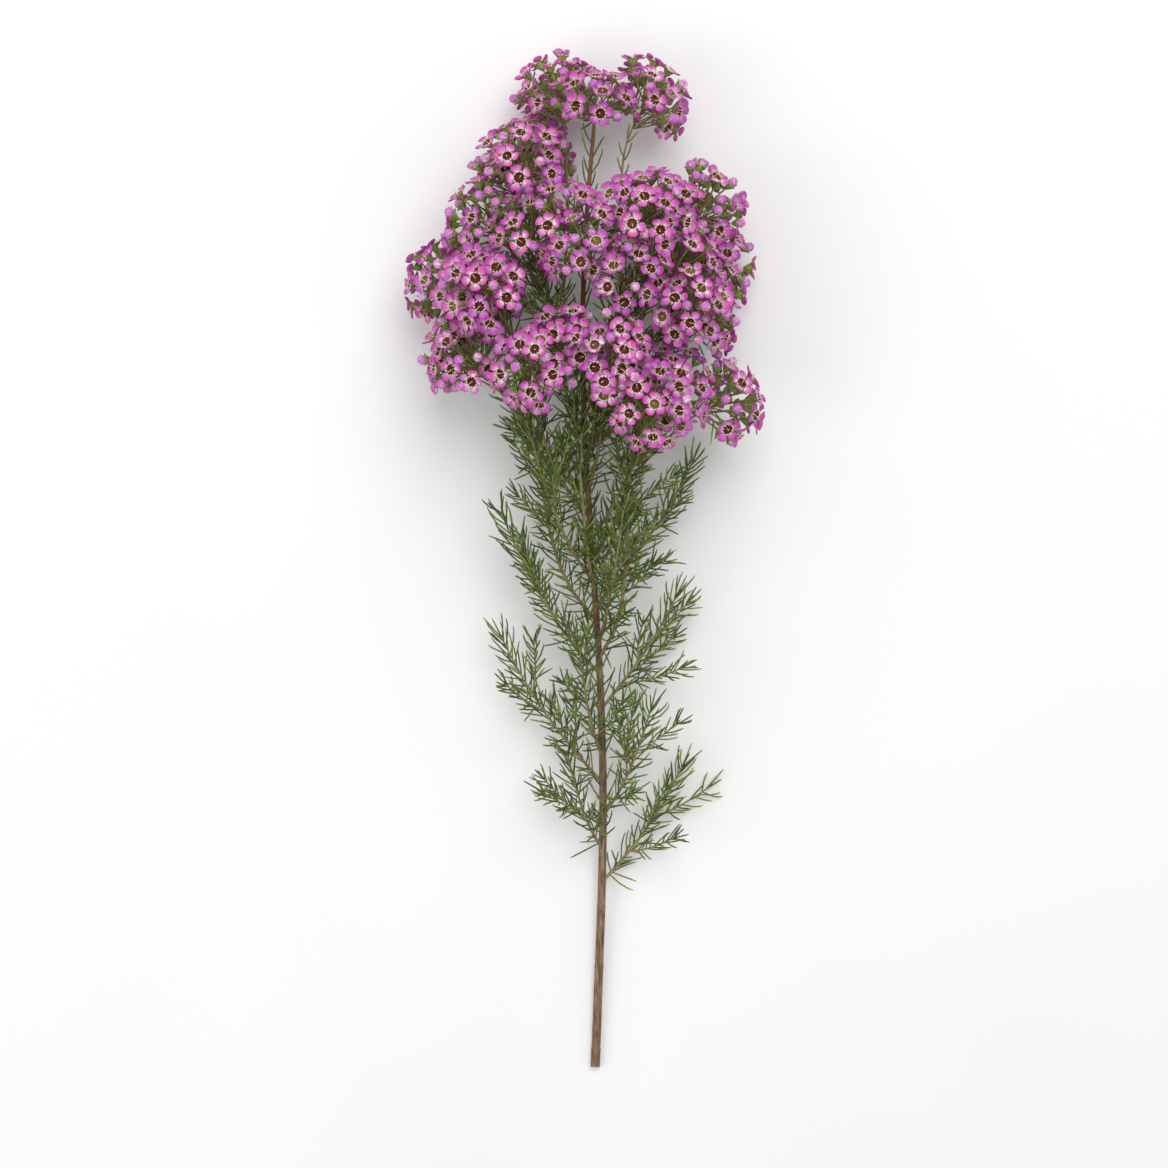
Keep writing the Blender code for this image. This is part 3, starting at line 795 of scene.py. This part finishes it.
def circle(turns, radius, height):
    """Points round Z, whose radius and height may differ from one to the next."""
    return np.stack(np.broadcast_arrays(np.cos(turns) * radius, np.sin(turns) * radius, height), axis=-1)


def lathe(profile, sides, ribs, depth):
    """Rings round Z at each radius and height of a profile, pressed in between the ribs."""
    press = 1 - depth * (0.5 - 0.5 * np.cos(ribs * around(sides)))
    return np.array([circle(around(sides), press * radius, height) for radius, height in profile])


def directions(points):
    """The heading at each point of a path, and two directions square to it that never twist."""
    headings = np.gradient(points, axis=0)
    headings /= np.linalg.norm(headings, axis=1, keepdims=True)
    guess = np.eye(3)[np.argmin(np.abs(headings[0]))]
    firsts = []
    for heading in headings:
        guess = guess - heading * (heading @ guess)
        guess = guess / np.linalg.norm(guess)
        firsts.append(guess)
    return headings, np.array(firsts), np.cross(headings, firsts)


def tube_rings(points, radii, sides):
    """Round rings along a path. The radii may be one for each ring, or one for each of its corners."""
    _, first, second = directions(points)
    turns = around(sides)[None, :, None]
    ring = first[:, None] * np.cos(turns) + second[:, None] * np.sin(turns)
    return points[:, None] + ring * np.reshape(radii, (len(points), -1, 1))


def add_tube(shape, points, radii, sides, material=0, tone=0.0):
    """A closed tube along a path with blunt ends, whose reach runs from 0 to 1."""
    start = points[0] + (points[0] - points[1]) * 0.1
    end = points[-1] + (points[-1] - points[-2]) * 0.1
    reach = column(np.linspace(0, 1, len(points)))
    add_skin(shape, tube_rings(points, radii, sides), start, end, reach, 0.0, material, tone)


def rotation(angle, axis):
    return np.array(Matrix.Rotation(angle, 3, axis).transposed())


def add_petal(shape, angle, tilt, length, width, fade, dice):
    """A round petal like a thin shallow spoon, which starts at the edge of the cup."""
    wave = dice.uniform(0, math.tau)
    turns = around(PETAL_SIDES)
    edge = 1 + 0.04 * np.sin(3 * turns + wave)
    rows = []
    for scale, side in PETAL_RINGS:
        along = length / 2 * (1 + scale * edge * np.cos(turns))
        across = width / 2 * scale * edge * np.sin(turns) * (1 + 0.14 * np.cos(turns))
        dish = PETAL_DISH * (scale**2 - 1)
        swell = side * PETAL_THICKNESS / 2 * math.sqrt(1.1 - scale**2)
        curl = PETAL_CURL * math.sin(wave) * (along / length) ** 2
        rows.append(np.stack([along, across, PETAL_LIFT + dish + swell + curl], axis=-1))
    rings = np.array(rows)
    axes = rotation(dice.uniform(-0.34, 0.34), "X") @ rotation(-tilt, "Y") @ rotation(angle, "Z")
    root = circle(angle, PETAL_START, 0)
    middle = rings[-1].mean(axis=0)
    below = middle - (0, 0, PETAL_THICKNESS)
    reach = rings[:, :, 0] / length * fade
    rib = rings[:, :, 1] / width * 2
    add_skin(shape, rings @ axes + root, below @ axes + root, middle @ axes + root, reach, rib)


def petals_shape(kind, dice):
    shape = Shape()
    for angle in around(PETALS):
        swing = angle + dice.uniform(-0.09, 0.09)
        tilt = TILTS[kind] + dice.uniform(-0.20, 0.26)
        length = (PETAL_END - PETAL_START) * dice.uniform(0.90, 1.06)
        width = PETAL_WIDTH * dice.uniform(0.90, 1.08)
        add_petal(shape, swing, tilt, length, width, FADES[kind], dice)
    return shape


def bud_shape(dice):
    """A round bud of overlapping petals, whose seams wind up to its top."""
    lean = dice.uniform(0.8, 1.2)
    heights = np.radians([-60, -28, 4, 34, 58, 78])
    profile = [(BUD_RADIUS * math.cos(a), BUD_RADIUS * (0.55 + math.sin(a))) for a in heights]
    rings = lathe(profile, BUD_SIDES, PETALS, 0.10)
    for row, height in enumerate(heights):
        rings[row] = rings[row] @ rotation(-lean * height, "Z")
    seams = (0.5 - 0.5 * np.cos(PETALS * around(BUD_SIDES))) ** 3 * 2
    reach = column(0.18 + 0.12 * np.sin(heights) ** 2)
    shape = Shape()
    add_skin(shape, rings, (0, 0, -BUD_RADIUS * 0.3), (0, 0, BUD_RADIUS * 1.5), reach, seams)
    return shape


def add_bowl(shape):
    """The dark bowl, with ten pockets in its wall."""
    wall = ((0.75, -0.95), (1.03, 0.25), (0.95, -0.15), (0.74, -0.72), (0.32, -0.90))
    profile = [(BOWL_RADIUS * across, BOWL_DEPTH * rise) for across, rise in wall]
    rings = lathe(profile, 2 * STAMENS, STAMENS, 0.07)
    reach = column([1.0, 1.0, 0.85, 0.6, 0.2])
    ribs = np.cos(STAMENS * around(2 * STAMENS))
    add_skin(shape, rings, (0, 0, -BOWL_DEPTH), (0, 0, -BOWL_DEPTH * 0.78), reach, ribs)


def add_collar(shape):
    """The pale ring round the bowl, with a tooth under each stamen. Its colour follows the height of each
    corner, which paints shade on its underside and outer foot.
    """
    turns = around(2 * STAMENS)
    teeth = 0.66 + 0.34 * np.cos(STAMENS * turns)
    radii = (BOWL_RADIUS * 0.96, COLLAR_RADIUS * 0.94, COLLAR_RADIUS, BOWL_RADIUS * 0.96)
    levels = (1.0, 0.92, 0.0, -0.3)
    section = [circle(turns, radius, COLLAR_HEIGHT * level * teeth) for radius, level in zip(radii, levels)]
    rings = np.stack(section, axis=1)
    grid = np.arange(len(turns) * len(levels)).reshape(len(turns), len(levels))
    # the levels give the reach, so the low ones are painted shade under the collar and where it meets the
    # petals
    values = np.stack(np.broadcast_arrays(levels, 0.0, column(np.cos(STAMENS * turns))), axis=-1)
    faces = band_faces(np.vstack([grid, grid[:1]]))
    shape.add(rings.reshape(-1, 3), values.reshape(-1, 3), faces, 1)


def add_stamens(shape, dice):
    for angle in around(STAMENS):
        foot = circle(angle, BOWL_RADIUS * 1.05, COLLAR_HEIGHT * 0.4)
        neck = circle(angle, BOWL_RADIUS * dice.uniform(0.86, 1.04), COLLAR_HEIGHT * 1.7)
        path = np.array([foot, neck, neck + (0, 0, ANTHER_RADIUS * 1.2)])
        add_tube(shape, path, ANTHER_RADIUS * np.array([0.6, 0.5, 1.1]), 3, 2)


def add_style(shape, dice):
    """The pale style, which stands in the middle of the bowl and leans a little."""
    tip = circle(dice.uniform(0, math.tau), STYLE_LEAN, STYLE_HEIGHT)
    root = np.array([0, 0, -BOWL_DEPTH])
    rise = (0, 0, 0.0002)
    points = np.array([root, root + (tip - root) * 0.45 + rise, tip, tip + rise])
    add_tube(shape, points, STYLE_RADII, 4, 2)


def middle_shape(dice):
    shape = Shape()
    add_bowl(shape)
    add_collar(shape)
    add_stamens(shape, dice)
    add_style(shape, dice)
    return shape


def cup_shape(size):
    """The green cup with its five ribs, and a small lobe in each notch between two petals."""
    shape = Shape()
    rings = lathe(CUP_PROFILE, 2 * PETALS, PETALS, 0.10) * size
    ribs = np.cos(PETALS * around(2 * PETALS))
    reach = column(np.linspace(0, 1, len(CUP_PROFILE)))
    add_skin(shape, rings, (0, 0, CUP_UNDERSIDE * size), (0, 0, CUP_FLOOR * size), reach, ribs)
    for angle in around(PETALS, math.pi / PETALS):
        path = np.array([circle(angle, radius, height) for radius, height in LOBE_PROFILE])
        add_tube(shape, path * size, np.array(LOBE_RADII) * size, 3)
    return shape


def flower_shape(kind, number):
    """The petals, the middle and the cup of one of the few shapes of each kind of flower."""
    dice = random.Random(f"{kind} {number}")
    if kind == "bud":
        return bud_shape(dice), None, cup_shape(BUD_CUP_SIZE)
    return petals_shape(kind, dice), middle_shape(dice), cup_shape(1.0)


def flower_axes(flower, size):
    """Its three directions, the first of which points along a petal, as on its solid."""
    first = ring_corners(Vector((0, 0, 0)), flower.facing, 1, 1, flower.spin)[0]
    return np.array([first, flower.facing.cross(first), flower.facing]) * size


def fine_path(twig, spacing):
    """Points at an even spacing on a smooth curve through a twig's path, with the radius at each."""
    path = np.array(twig.path)
    spans = np.linalg.norm(np.diff(path, axis=0), axis=1)
    slopes = np.diff(path, axis=0) / spans[:, None]
    share = (spans[1:] / (spans[:-1] + spans[1:]))[:, None]
    inner = slopes[:-1] * share + slopes[1:] * (1 - share)
    slopes = np.vstack([slopes[:1], inner, slopes[-1:]])
    points = []
    radii = []
    for number, span in enumerate(spans):
        steps = max(int(span / spacing), 2)
        for t in np.arange(steps) / steps:
            start = path[number] * (1 + 2 * t) * (1 - t) ** 2 + slopes[number] * span * t * (1 - t) ** 2
            end = path[number + 1] * t * t * (3 - 2 * t) - slopes[number + 1] * span * t * t * (1 - t)
            points.append(start + end)
            radii.append(twig.radii[number] + (twig.radii[number + 1] - twig.radii[number]) * t)
    return np.array(points + [path[-1]]), np.array(radii + [twig.radii[-1]])


def joined(twig):
    """The twig with its start sunk into what carries it, which it leaves at a slant."""
    start, neck, *rest = twig.path
    side = (neck - start).normalized()
    sunk = start - side * JOIN_DEPTH
    if (neck - start).length > twig.radii[0] * 2:
        return Twig([sunk, neck] + rest, twig.radii[0], twig.radii[-1])
    along = square_to(rest[0] - neck, side)
    return Twig([sunk - along * JOIN_RUN] + rest, twig.radii[0], twig.radii[-1])


def travelled(points):
    return np.append(0, np.cumsum(np.linalg.norm(np.diff(points, axis=0), axis=1)))


def add_twig(shape, twig, sides, material=0, tone=0.0):
    """A twig that swells a little where each pair of needle leaves starts."""
    points, radii = fine_path(twig, RING_SPACING)
    from_node = (travelled(points) % NEEDLE_SPACING) - NEEDLE_SPACING / 2
    swell = 1 + NODE_SWELL * np.exp(-((from_node / NODE_LENGTH) ** 2))
    add_tube(shape, points, radii * swell, sides, material, tone)


def add_needles(shape, piece, material):
    """Needle leaves that bend away from their twig and hook back a little at a blunt tip."""
    dice = random.Random(f"{piece.name} needle look")
    palest = 0.7 if piece.kind == "flower_head" else 0
    shares = np.array([0, 0.12, 0.45, 0.80, 0.97])
    arch = np.array([0, 0.2, 1.0, 0.6, -0.1])
    radii = NEEDLE_RADIUS * np.array([0.5, 0.85, 1.0, 0.95, 0.55])
    for root, tip, side in piece.needles:
        along = np.array(tip) - np.array(root)
        bend = np.linalg.norm(along) * NEEDLE_BEND * dice.uniform(-0.4, 1.6)
        points = np.array(root) + np.outer(shares, along) + np.outer(arch * bend, side)
        add_tube(shape, points, radii, NEEDLE_SIDES, material, dice.uniform(palest, 1))


def add_stalk(shape, flower, tone):
    """A stalk that leaves its root straight and curves to meet the cup square on."""
    reach = (flower.foot - flower.root).length
    start_pull = flower.root.lerp(flower.foot, 0.4)
    end_pull = flower.foot - flower.facing * reach * 0.35
    path = [flower.root] + curve_points(flower.root, start_pull, end_pull, flower.foot, 4)
    radii = np.linspace(STALK_ROOT_RADIUS, STALK_RADIUS, len(path)) * 1.1
    add_tube(shape, np.array(path), radii, STALK_SIDES, 1, tone)


def bark_relief(points, radii):
    """Fine ridges along the bark, and the scars of fallen needle leaves in pairs."""
    run = column(travelled(points))
    turns = around(BARK_SIDES)[None, :]
    ridges = np.sin(7 * turns + 2 * np.sin(run * 41)) + 0.7 * np.sin(11 * turns - 2 * np.sin(run * 67))
    relief = BARK_RIDGE * ridges * column(radii) / CUT_RADIUS
    for number in range(int(run[-1, 0] / SCAR_SPACING)):
        along = (run - SCAR_SPACING * (number + 0.5)) / SCAR_LENGTH
        spin = np.cos(2 * (turns - math.pi / 2 * (number % 2) - 0.2 * number)) * 0.5 + 0.5
        relief = relief + SCAR_HEIGHT * np.exp(-(along**2)) * spin**4
    return relief


def slanted(corners):
    """The corners near the cut end, moved to follow its slope."""
    level = np.clip(corners[..., 2] / (2 * CUT_RADIUS), 0, 1)
    near = np.clip(1 - corners[..., 1] / SLANT_RUN, 0, 1)
    corners[..., 1] += CUT_SLANT * level * near
    return corners


def bark_shape(main):
    points, radii = fine_path(main.twig, RING_SPACING * 0.7)
    full = column(radii) + bark_relief(points, radii)
    rings = slanted(tube_rings(points, full, BARK_SIDES))
    reach = column(np.linspace(0, 1, len(points)))
    start = slanted(points[0] + np.array([0, 0.0006, 0]))
    shape = Shape()
    add_skin(shape, rings, start, points[-1] + (0, 0.0005, 0), reach)
    return shape


def cut_shape(main):
    """The pale wood inside the bark, which shows at the cut end."""
    middle = np.array(main.twig.path[0])
    shares = (0.9, 1.0, 0.8, 0.55, 0.3, 0.12)
    depths = (0.0012, 0.0002, 0.0001, 0.00005, 0.00005, 0.0001)
    rings = []
    for share, depth in zip(shares, depths):
        ring = circle(around(BARK_SIDES), share * CUT_RADIUS * WOOD_SHARE, 0)
        rings.append(middle + ring[:, [0, 2, 1]] + (0, depth, 0))
    start = slanted(middle + (0, 0.0014, 0))
    shape = Shape()
    add_skin(shape, slanted(np.array(rings)), start, slanted(middle + (0, 0.0001, 0)), column(shares))
    return shape


def display(*parts):
    """The linear colour of a display colour, whose parts run from 0 to 255."""
    shares = [part / 255 for part in parts]
    return (*(part / 12.92 if part < 0.04045 else ((part + 0.055) / 1.055) ** 2.4 for part in shares), 1)


class Look:
    """A material made of nodes."""

    def __init__(self, name, **finish):
        self.material = bpy.data.materials.new(name)
        self.material.use_nodes = True
        self.tree = self.material.node_tree
        self.shader = self.tree.nodes["Principled BSDF"]
        for socket, amount in finish.items():
            self.shader.inputs[socket.replace("_", " ")].default_value = amount

    def node(self, kind, inputs, **settings):
        """A node with its settings, and with its inputs set, or linked where they are outputs."""
        node = self.tree.nodes.new("ShaderNode" + kind)
        for name, setting in settings.items():
            setattr(node, name, setting)
        for socket, value in inputs.items():
            if isinstance(value, bpy.types.NodeSocket):
                self.tree.links.new(value, node.inputs[socket])
            else:
                node.inputs[socket].default_value = value
        return node

    def value(self, name):
        return self.node("Attribute", {}, attribute_name=name).outputs["Fac"]

    def noise(self, scale, detail=2.0, stretch=(1, 1, 1)):
        """Noise in the object's own space, which may be drawn out along an axis."""
        place = self.node("TexCoord", {}).outputs["Object"]
        mapped = self.node("Mapping", {"Vector": place, "Scale": stretch}).outputs["Vector"]
        return self.node("TexNoise", {"Vector": mapped, "Scale": scale, "Detail": detail}).outputs["Fac"]

    def maths(self, operation, *inputs):
        return self.node("Math", dict(enumerate(inputs)), operation=operation).outputs[0]

    def sum(self, *terms):
        """A sum of outputs, each with its own weight, and an offset."""
        *weighted, total = terms
        for output, weight in weighted:
            total = self.maths("MULTIPLY_ADD", output, weight, total)
        return total

    def ramp(self, output, *stops):
        """Display colours, each after its place from 0 to 1 along an output."""
        node = self.node("ValToRGB", {"Fac": output})
        elements = node.color_ramp.elements
        while len(elements) < len(stops):
            elements.new(0.5)
        for element, (place, *parts) in zip(elements, stops):
            element.position = place
            element.color = display(*parts)
        return node.outputs["Color"]

    def mix(self, factor, first, second, blend="MIX"):
        """From the first colour to the second, as the factor goes from 0 to 1."""
        inputs = {"Factor": factor, "A": first, "B": second}
        return self.node("Mix", inputs, data_type="RGBA", blend_type=blend).outputs["Result"]

    def painted(self, colour, *bump):
        """The material with its colour and its bump, which is a height, a strength and a distance."""
        self.tree.links.new(colour, self.shader.inputs["Base Color"])
        if bump:
            node = self.node("Bump", dict(zip(("Height", "Strength", "Distance"), bump)))
            self.tree.links.new(node.outputs["Normal"], self.shader.inputs["Normal"])
        return self.material


def petal_look():
    """Nearly white at its base, lilac in its middle and a hot pink at its rim."""
    look = Look("petal", Roughness=0.42, Specular_IOR_Level=0.35)
    tone = look.value("tone")
    patches = look.noise(420.0, 3.0)
    edge = look.maths("ABSOLUTE", look.value("rib"))
    marks = look.sum((patches, 1.1), (look.noise(1300.0, 2.0), 0.6), -0.84)
    place = look.sum((look.value("reach"), 0.80), (edge, 0.12), (marks, 1.0), (tone, 0.4), -0.06)
    pinks = ((0.36, 206, 128, 190), (0.64, 201, 88, 170), (0.95, 204, 50, 146))
    warm = look.ramp(place, (0.04, 240, 222, 230), (0.16, 224, 178, 212), *pinks)
    lilacs = ((0.50, 192, 120, 196), (0.95, 184, 68, 166))
    cool = look.ramp(place, (0.04, 236, 220, 234), (0.18, 216, 172, 216), *lilacs)
    return look.painted(look.mix(look.sum((tone, 1.6), (patches, 1.4), -1.2), warm, cool))


def bowl_look():
    """Dark maroon with darker pockets, or olive in a young flower."""
    look = Look("bowl", Roughness=0.5, Specular_IOR_Level=0.2)
    place = look.sum((look.value("reach"), 0.7), (look.value("rib"), 0.26), (look.noise(900.0), 0.4), -0.25)
    old = look.ramp(place, (0.10, 96, 34, 18), (0.40, 62, 10, 10), (0.75, 120, 40, 30), (1.00, 176, 112, 84))
    young = look.ramp(place, (0.1, 150, 124, 60), (0.5, 122, 92, 42), (1.0, 184, 160, 104))
    return look.painted(look.mix(look.sum((look.value("tone"), 4.0), -3.2), old, young))


def pale_look(name, low, high):
    """The pale parts round and in the bowl, from their low colour to their high one. On the collar the low
    colour is partly painted shade, on its underside and outer foot, and partly its own brownish blotches.
    """
    look = Look(name, Roughness=0.5)
    marks = look.sum((look.noise(420.0), 1.1), (look.value("rib"), 0.32), -0.40)
    place = look.sum((look.value("reach"), 0.4), (marks, 1.0), (look.value("tone"), 0.4), 0.0)
    return look.painted(look.ramp(place, (0.1, *low), (0.9, *high)))


def cup_look():
    """Waxy light green with a red flush on its ribs."""
    look = Look("cup", Roughness=0.45, Specular_IOR_Level=0.4)
    blush = look.noise(260.0, 3.0)
    reach = look.value("reach")
    rib = look.value("rib")
    place = look.sum((reach, 0.8), (rib, 0.16), (blush, 0.3), -0.15)
    green = look.ramp(place, (0.1, 118, 146, 58), (0.5, 144, 168, 78), (1.0, 168, 180, 110))
    red = look.ramp(reach, (0.2, 136, 86, 60), (0.9, 160, 98, 92))
    colour = look.mix(look.sum((blush, 2.2), (rib, 0.12), -1.1), green, red)
    return look.painted(colour, look.noise(1900.0), 0.25, 0.0002)


def stalk_look():
    look = Look("stalk", Roughness=0.5)
    place = look.sum((look.value("reach"), -0.5), (look.value("tone"), 0.35), (look.noise(180.0), 0.7), 0.35)
    return look.painted(look.ramp(place, (0.2, 134, 154, 72), (0.6, 140, 128, 70), (0.95, 136, 86, 58)))


def needle_look():
    """Mid to dark green, and paler and yellower towards the tip and in some leaves."""
    look = Look("needle", Roughness=0.48, Specular_IOR_Level=0.4)
    patches = look.noise(240.0, 3.0)
    place = look.sum((look.value("reach"), 0.30), (look.value("tone"), 0.60), (patches, 0.6), -0.28)
    pale = ((0.70, 120, 138, 56), (1.00, 168, 184, 84))
    colour = look.ramp(place, (0.05, 54, 70, 28), (0.40, 86, 104, 42), *pale)
    return look.painted(colour, look.noise(1500.0, 2.0), 0.25, 0.0002)


def twig_look():
    """Yellow-brown to reddish, and greener towards its tip."""
    look = Look("twig", Roughness=0.62)
    streaks = look.noise(150.0, 4.0, (3, 1, 3))
    place = look.sum((look.value("reach"), -0.40), (streaks, 0.9), (look.value("tone"), 0.35), 0.05)
    browns = ((0.65, 134, 104, 72), (1.00, 108, 66, 50))
    colour = look.ramp(place, (0.10, 124, 132, 70), (0.35, 150, 136, 90), *browns)
    return look.painted(colour, look.noise(800.0, 3.0, (3, 1, 3)), 0.4, 0.0003)


def bark_look():
    """Brown bark that flakes to grey in long streaks, and is younger and redder higher up."""
    look = Look("bark", Roughness=0.78)
    streaks = look.noise(240.0, 6.0, (3, 0.35, 3))
    flakes = ((0.60, 140, 116, 90), (0.80, 172, 154, 130))
    old = look.ramp(streaks, (0.25, 70, 52, 38), (0.45, 112, 86, 62), *flakes)
    fresh = look.ramp(streaks, (0.3, 98, 60, 40), (0.7, 146, 108, 66))
    colour = look.mix(look.sum((look.value("reach"), 2.2), (look.noise(30.0), 0.6), -1.1), old, fresh)
    return look.painted(colour, look.noise(900.0, 6.0, (3, 0.3, 3)), 0.7, 0.0005)


def cut_look():
    """Pale wood in fine rings round a brown pith."""
    look = Look("cut", Roughness=0.7)
    reach = look.value("reach")
    ripple = look.maths("SINE", look.sum((reach, 42.0), (look.noise(500.0), 3.0), 0.0))
    grain = look.sum((ripple, 0.25), (look.noise(1400.0, 3.0), 0.5), 0.25)
    wood = look.ramp(grain, (0.1, 214, 194, 150), (0.9, 244, 234, 204))
    rind = ((0.84, 244, 236, 208), (0.97, 164, 160, 104))
    shade = look.ramp(reach, (0.10, 176, 142, 98), (0.18, 250, 242, 222), *rind)
    return look.painted(look.mix(1.0, wood, shade, "MULTIPLY"), ripple, 0.3, 0.0002)


def make_looks():
    return {
        "petal": petal_look(),
        "bowl": bowl_look(),
        # the collar's low colour is partly painted shade on its underside and foot, and partly its own
        # brownish blotches
        "collar": pale_look("collar", (132, 78, 70), (240, 216, 200)),
        "anther": pale_look("anther", (208, 182, 140), (244, 232, 204)),
        "cup": cup_look(),
        "stalk": stalk_look(),
        "needle": needle_look(),
        "twig": twig_look(),
        "bark": bark_look(),
        "cut": cut_look(),
    }


def add_to_scene(name, data):
    item = bpy.data.objects.new(name, data)
    bpy.context.scene.collection.objects.link(item)
    return item


def make_piece(looks, shift, node, part, shape, names, slot=None):
    """A piece that rides the stem, stands for a solid and stays above the table."""
    corners = np.concatenate(shape.corners) + np.array(shift)
    low = corners[:, 2] < LOWEST
    corners[low, 2] = LOWEST * np.exp(corners[low, 2] / LOWEST - 1)
    faces = [face if face[3] >= 0 else face[:3] for face in np.concatenate(shape.faces).tolist()]
    mesh = bpy.data.meshes.new(f"{node}_{part}")
    mesh.from_pydata(corners.tolist(), [], faces)
    mesh.polygons.foreach_set("material_index", np.concatenate(shape.materials).astype(np.int32))
    values = np.concatenate(shape.values).astype(np.float32)
    for number, value in enumerate(("reach", "tone", "rib")):
        mesh.attributes.new(value, "FLOAT", "POINT").data.foreach_set("value", values[:, number].copy())
    for name in names:
        mesh.materials.append(looks[name])
    mesh.shade_smooth()
    mesh.update()
    piece = add_to_scene(mesh.name, mesh)
    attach(piece, "root")
    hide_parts(node)


def make_head(head, shapes, make):
    """The petals, the middles, the cups with their stalks and needle leaves, and the twig."""
    petals, middles, greens, twig = Shape(), Shape(), Shape(), Shape()
    dice = random.Random(f"{head.name} flower look")
    for flower in head.flowers:
        tone = dice.random()
        axes = flower_axes(flower, dice.uniform(0.93, 1.05))
        petal, middle, cup = dice.choice(shapes[flower.kind])
        petals.place(petal, axes, flower.middle(), tone)
        greens.place(cup, axes, flower.middle(), tone)
        add_stalk(greens, flower, tone)
        if middle:
            age = dice.random() if flower.kind == "open" else dice.uniform(0.75, 1)
            middles.place(middle, axes, flower.middle(), age)
    add_needles(greens, head, 2)
    add_twig(twig, joined(head.twig), TWIG_FINE_SIDES, 0, 1.0)
    make(head.name, "petals", petals, ["petal"], "petal")
    make(head.name, "middles", middles, ["bowl", "collar", "anther"], "cup")
    make(head.name, "greens", greens, ["cup", "stalk", "needle"], "leaf")
    make(head.name, "twig", twig, ["twig"], "twig")


def make_leafy(piece, make):
    """A side stem or a leafy shoot."""
    twigs, needles = Shape(), Shape()
    for twig in [joined(piece.twig)] + piece.twiglets:
        add_twig(twigs, twig, TWIG_FINE_SIDES)
    add_needles(needles, piece, 0)
    make(piece.name, "twigs", twigs, ["twig"], "twig")
    make(piece.name, "needles", needles, ["needle"], "leaf")


def make_main_stem(main, make):
    needles = Shape()
    add_needles(needles, main, 0)
    make(main.name, "bark", bark_shape(main), ["bark"], "bark")
    make(main.name, "cut", cut_shape(main), ["cut"])
    make(main.name, "needles", needles, ["needle"], "leaf")


def shift_to_solids(main):
    """How far the grown stem lies from its solids, which were centred after they grew."""
    path = main.twig.path
    corners = []
    for step, (point, radius) in enumerate(zip(path, main.twig.radii)):
        heading = (path[min(step + 1, STEM_STEPS)] - path[max(step - 1, 0)]).normalized()
        corners += ring_corners(point, heading, radius, STEM_SIDES, 0)
    heights = [corner.z for corner in corners[:STEM_SIDES]]
    for corner, height in zip(corners, heights):
        corner.y += CUT_SLANT * (height - min(heights)) / (max(heights) - min(heights))
    lowest = Vector([min(corner[axis] for corner in corners) for axis in range(3)])
    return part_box(main.name)[0] - lowest


def make_plant():
    plant = grow_plant()
    grow_more(plant)
    shapes = {}
    for kind, count in VARIANTS.items():
        shapes[kind] = [flower_shape(kind, number) for number in range(count)]
    make = partial(make_piece, make_looks(), shift_to_solids(plant[0]))
    for piece in plant:
        if piece.kind == "main_stem":
            make_main_stem(piece, make)
        elif piece.kind == "flower_head":
            make_head(piece, shapes, make)
        else:
            make_leafy(piece, make)


# Table, lights and camera
FLOOR_SIZE = 40.0
WORLD_STRENGTH = 0.60
VIEW_LEAN = math.radians(7)
VIEW_HEIGHT = 0.665
LENS = 85.0
SENSOR = 36.0


def make_floor():
    look = Look("floor", Roughness=0.6)
    shade = look.ramp(look.noise(3.0), (0.3, 240, 240, 240), (0.7, 244, 244, 243))
    mesh = bpy.data.meshes.new("floor")
    half = FLOOR_SIZE / 2
    corners = [(-half, -half, 0), (half, -half, 0), (half, half, 0), (-half, half, 0)]
    mesh.from_pydata(corners, [], [(0, 1, 2, 3)])
    mesh.materials.append(look.painted(shade))
    floor = add_to_scene("floor", mesh)
    floor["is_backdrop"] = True


def make_light(name, place, size, power):
    """A square soft light that points at the stem."""
    light = bpy.data.lights.new(name, "AREA")
    light.size = size
    light.energy = power
    item = add_to_scene(name, light)
    item.location = place
    item.rotation_euler = (-Vector(place)).to_track_quat("-Z", "Y").to_euler()
    item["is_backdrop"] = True


def make_world():
    world = bpy.data.worlds.new("studio")
    world.use_nodes = True
    background = world.node_tree.nodes["Background"]
    background.inputs["Color"].default_value = (1, 1, 1, 1)
    background.inputs["Strength"].default_value = WORLD_STRENGTH
    bpy.context.scene.world = world


def make_camera():
    """It looks down on the laid stem, tips upwards, and leans a little to the side of the flowers."""
    low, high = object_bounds()
    back = Vector((0, math.sin(VIEW_LEAN), math.cos(VIEW_LEAN)))
    up = square_to(FORWARD, back)
    camera = add_to_scene("camera", bpy.data.cameras.new("camera"))
    camera.data.lens = LENS
    camera.data.sensor_width = SENSOR
    target = (low + high) / 2
    distance = VIEW_HEIGHT / 2 / (SENSOR / 2 / LENS)
    turn = Matrix((up.cross(back), up, back)).transposed()
    camera.matrix_world = Matrix.Translation(target + back * distance) @ turn.to_4x4()
    bpy.context.scene.camera = camera


def make_stage():
    make_floor()
    make_light("top", place=(0.4, 1.2, 2.1), size=1.6, power=32)
    make_light("side", place=(-1.6, -0.5, 1.5), size=1.4, power=11)
    make_world()
    make_camera()
    bpy.context.scene.view_settings.view_transform = "Standard"


make_plant()
make_stage()
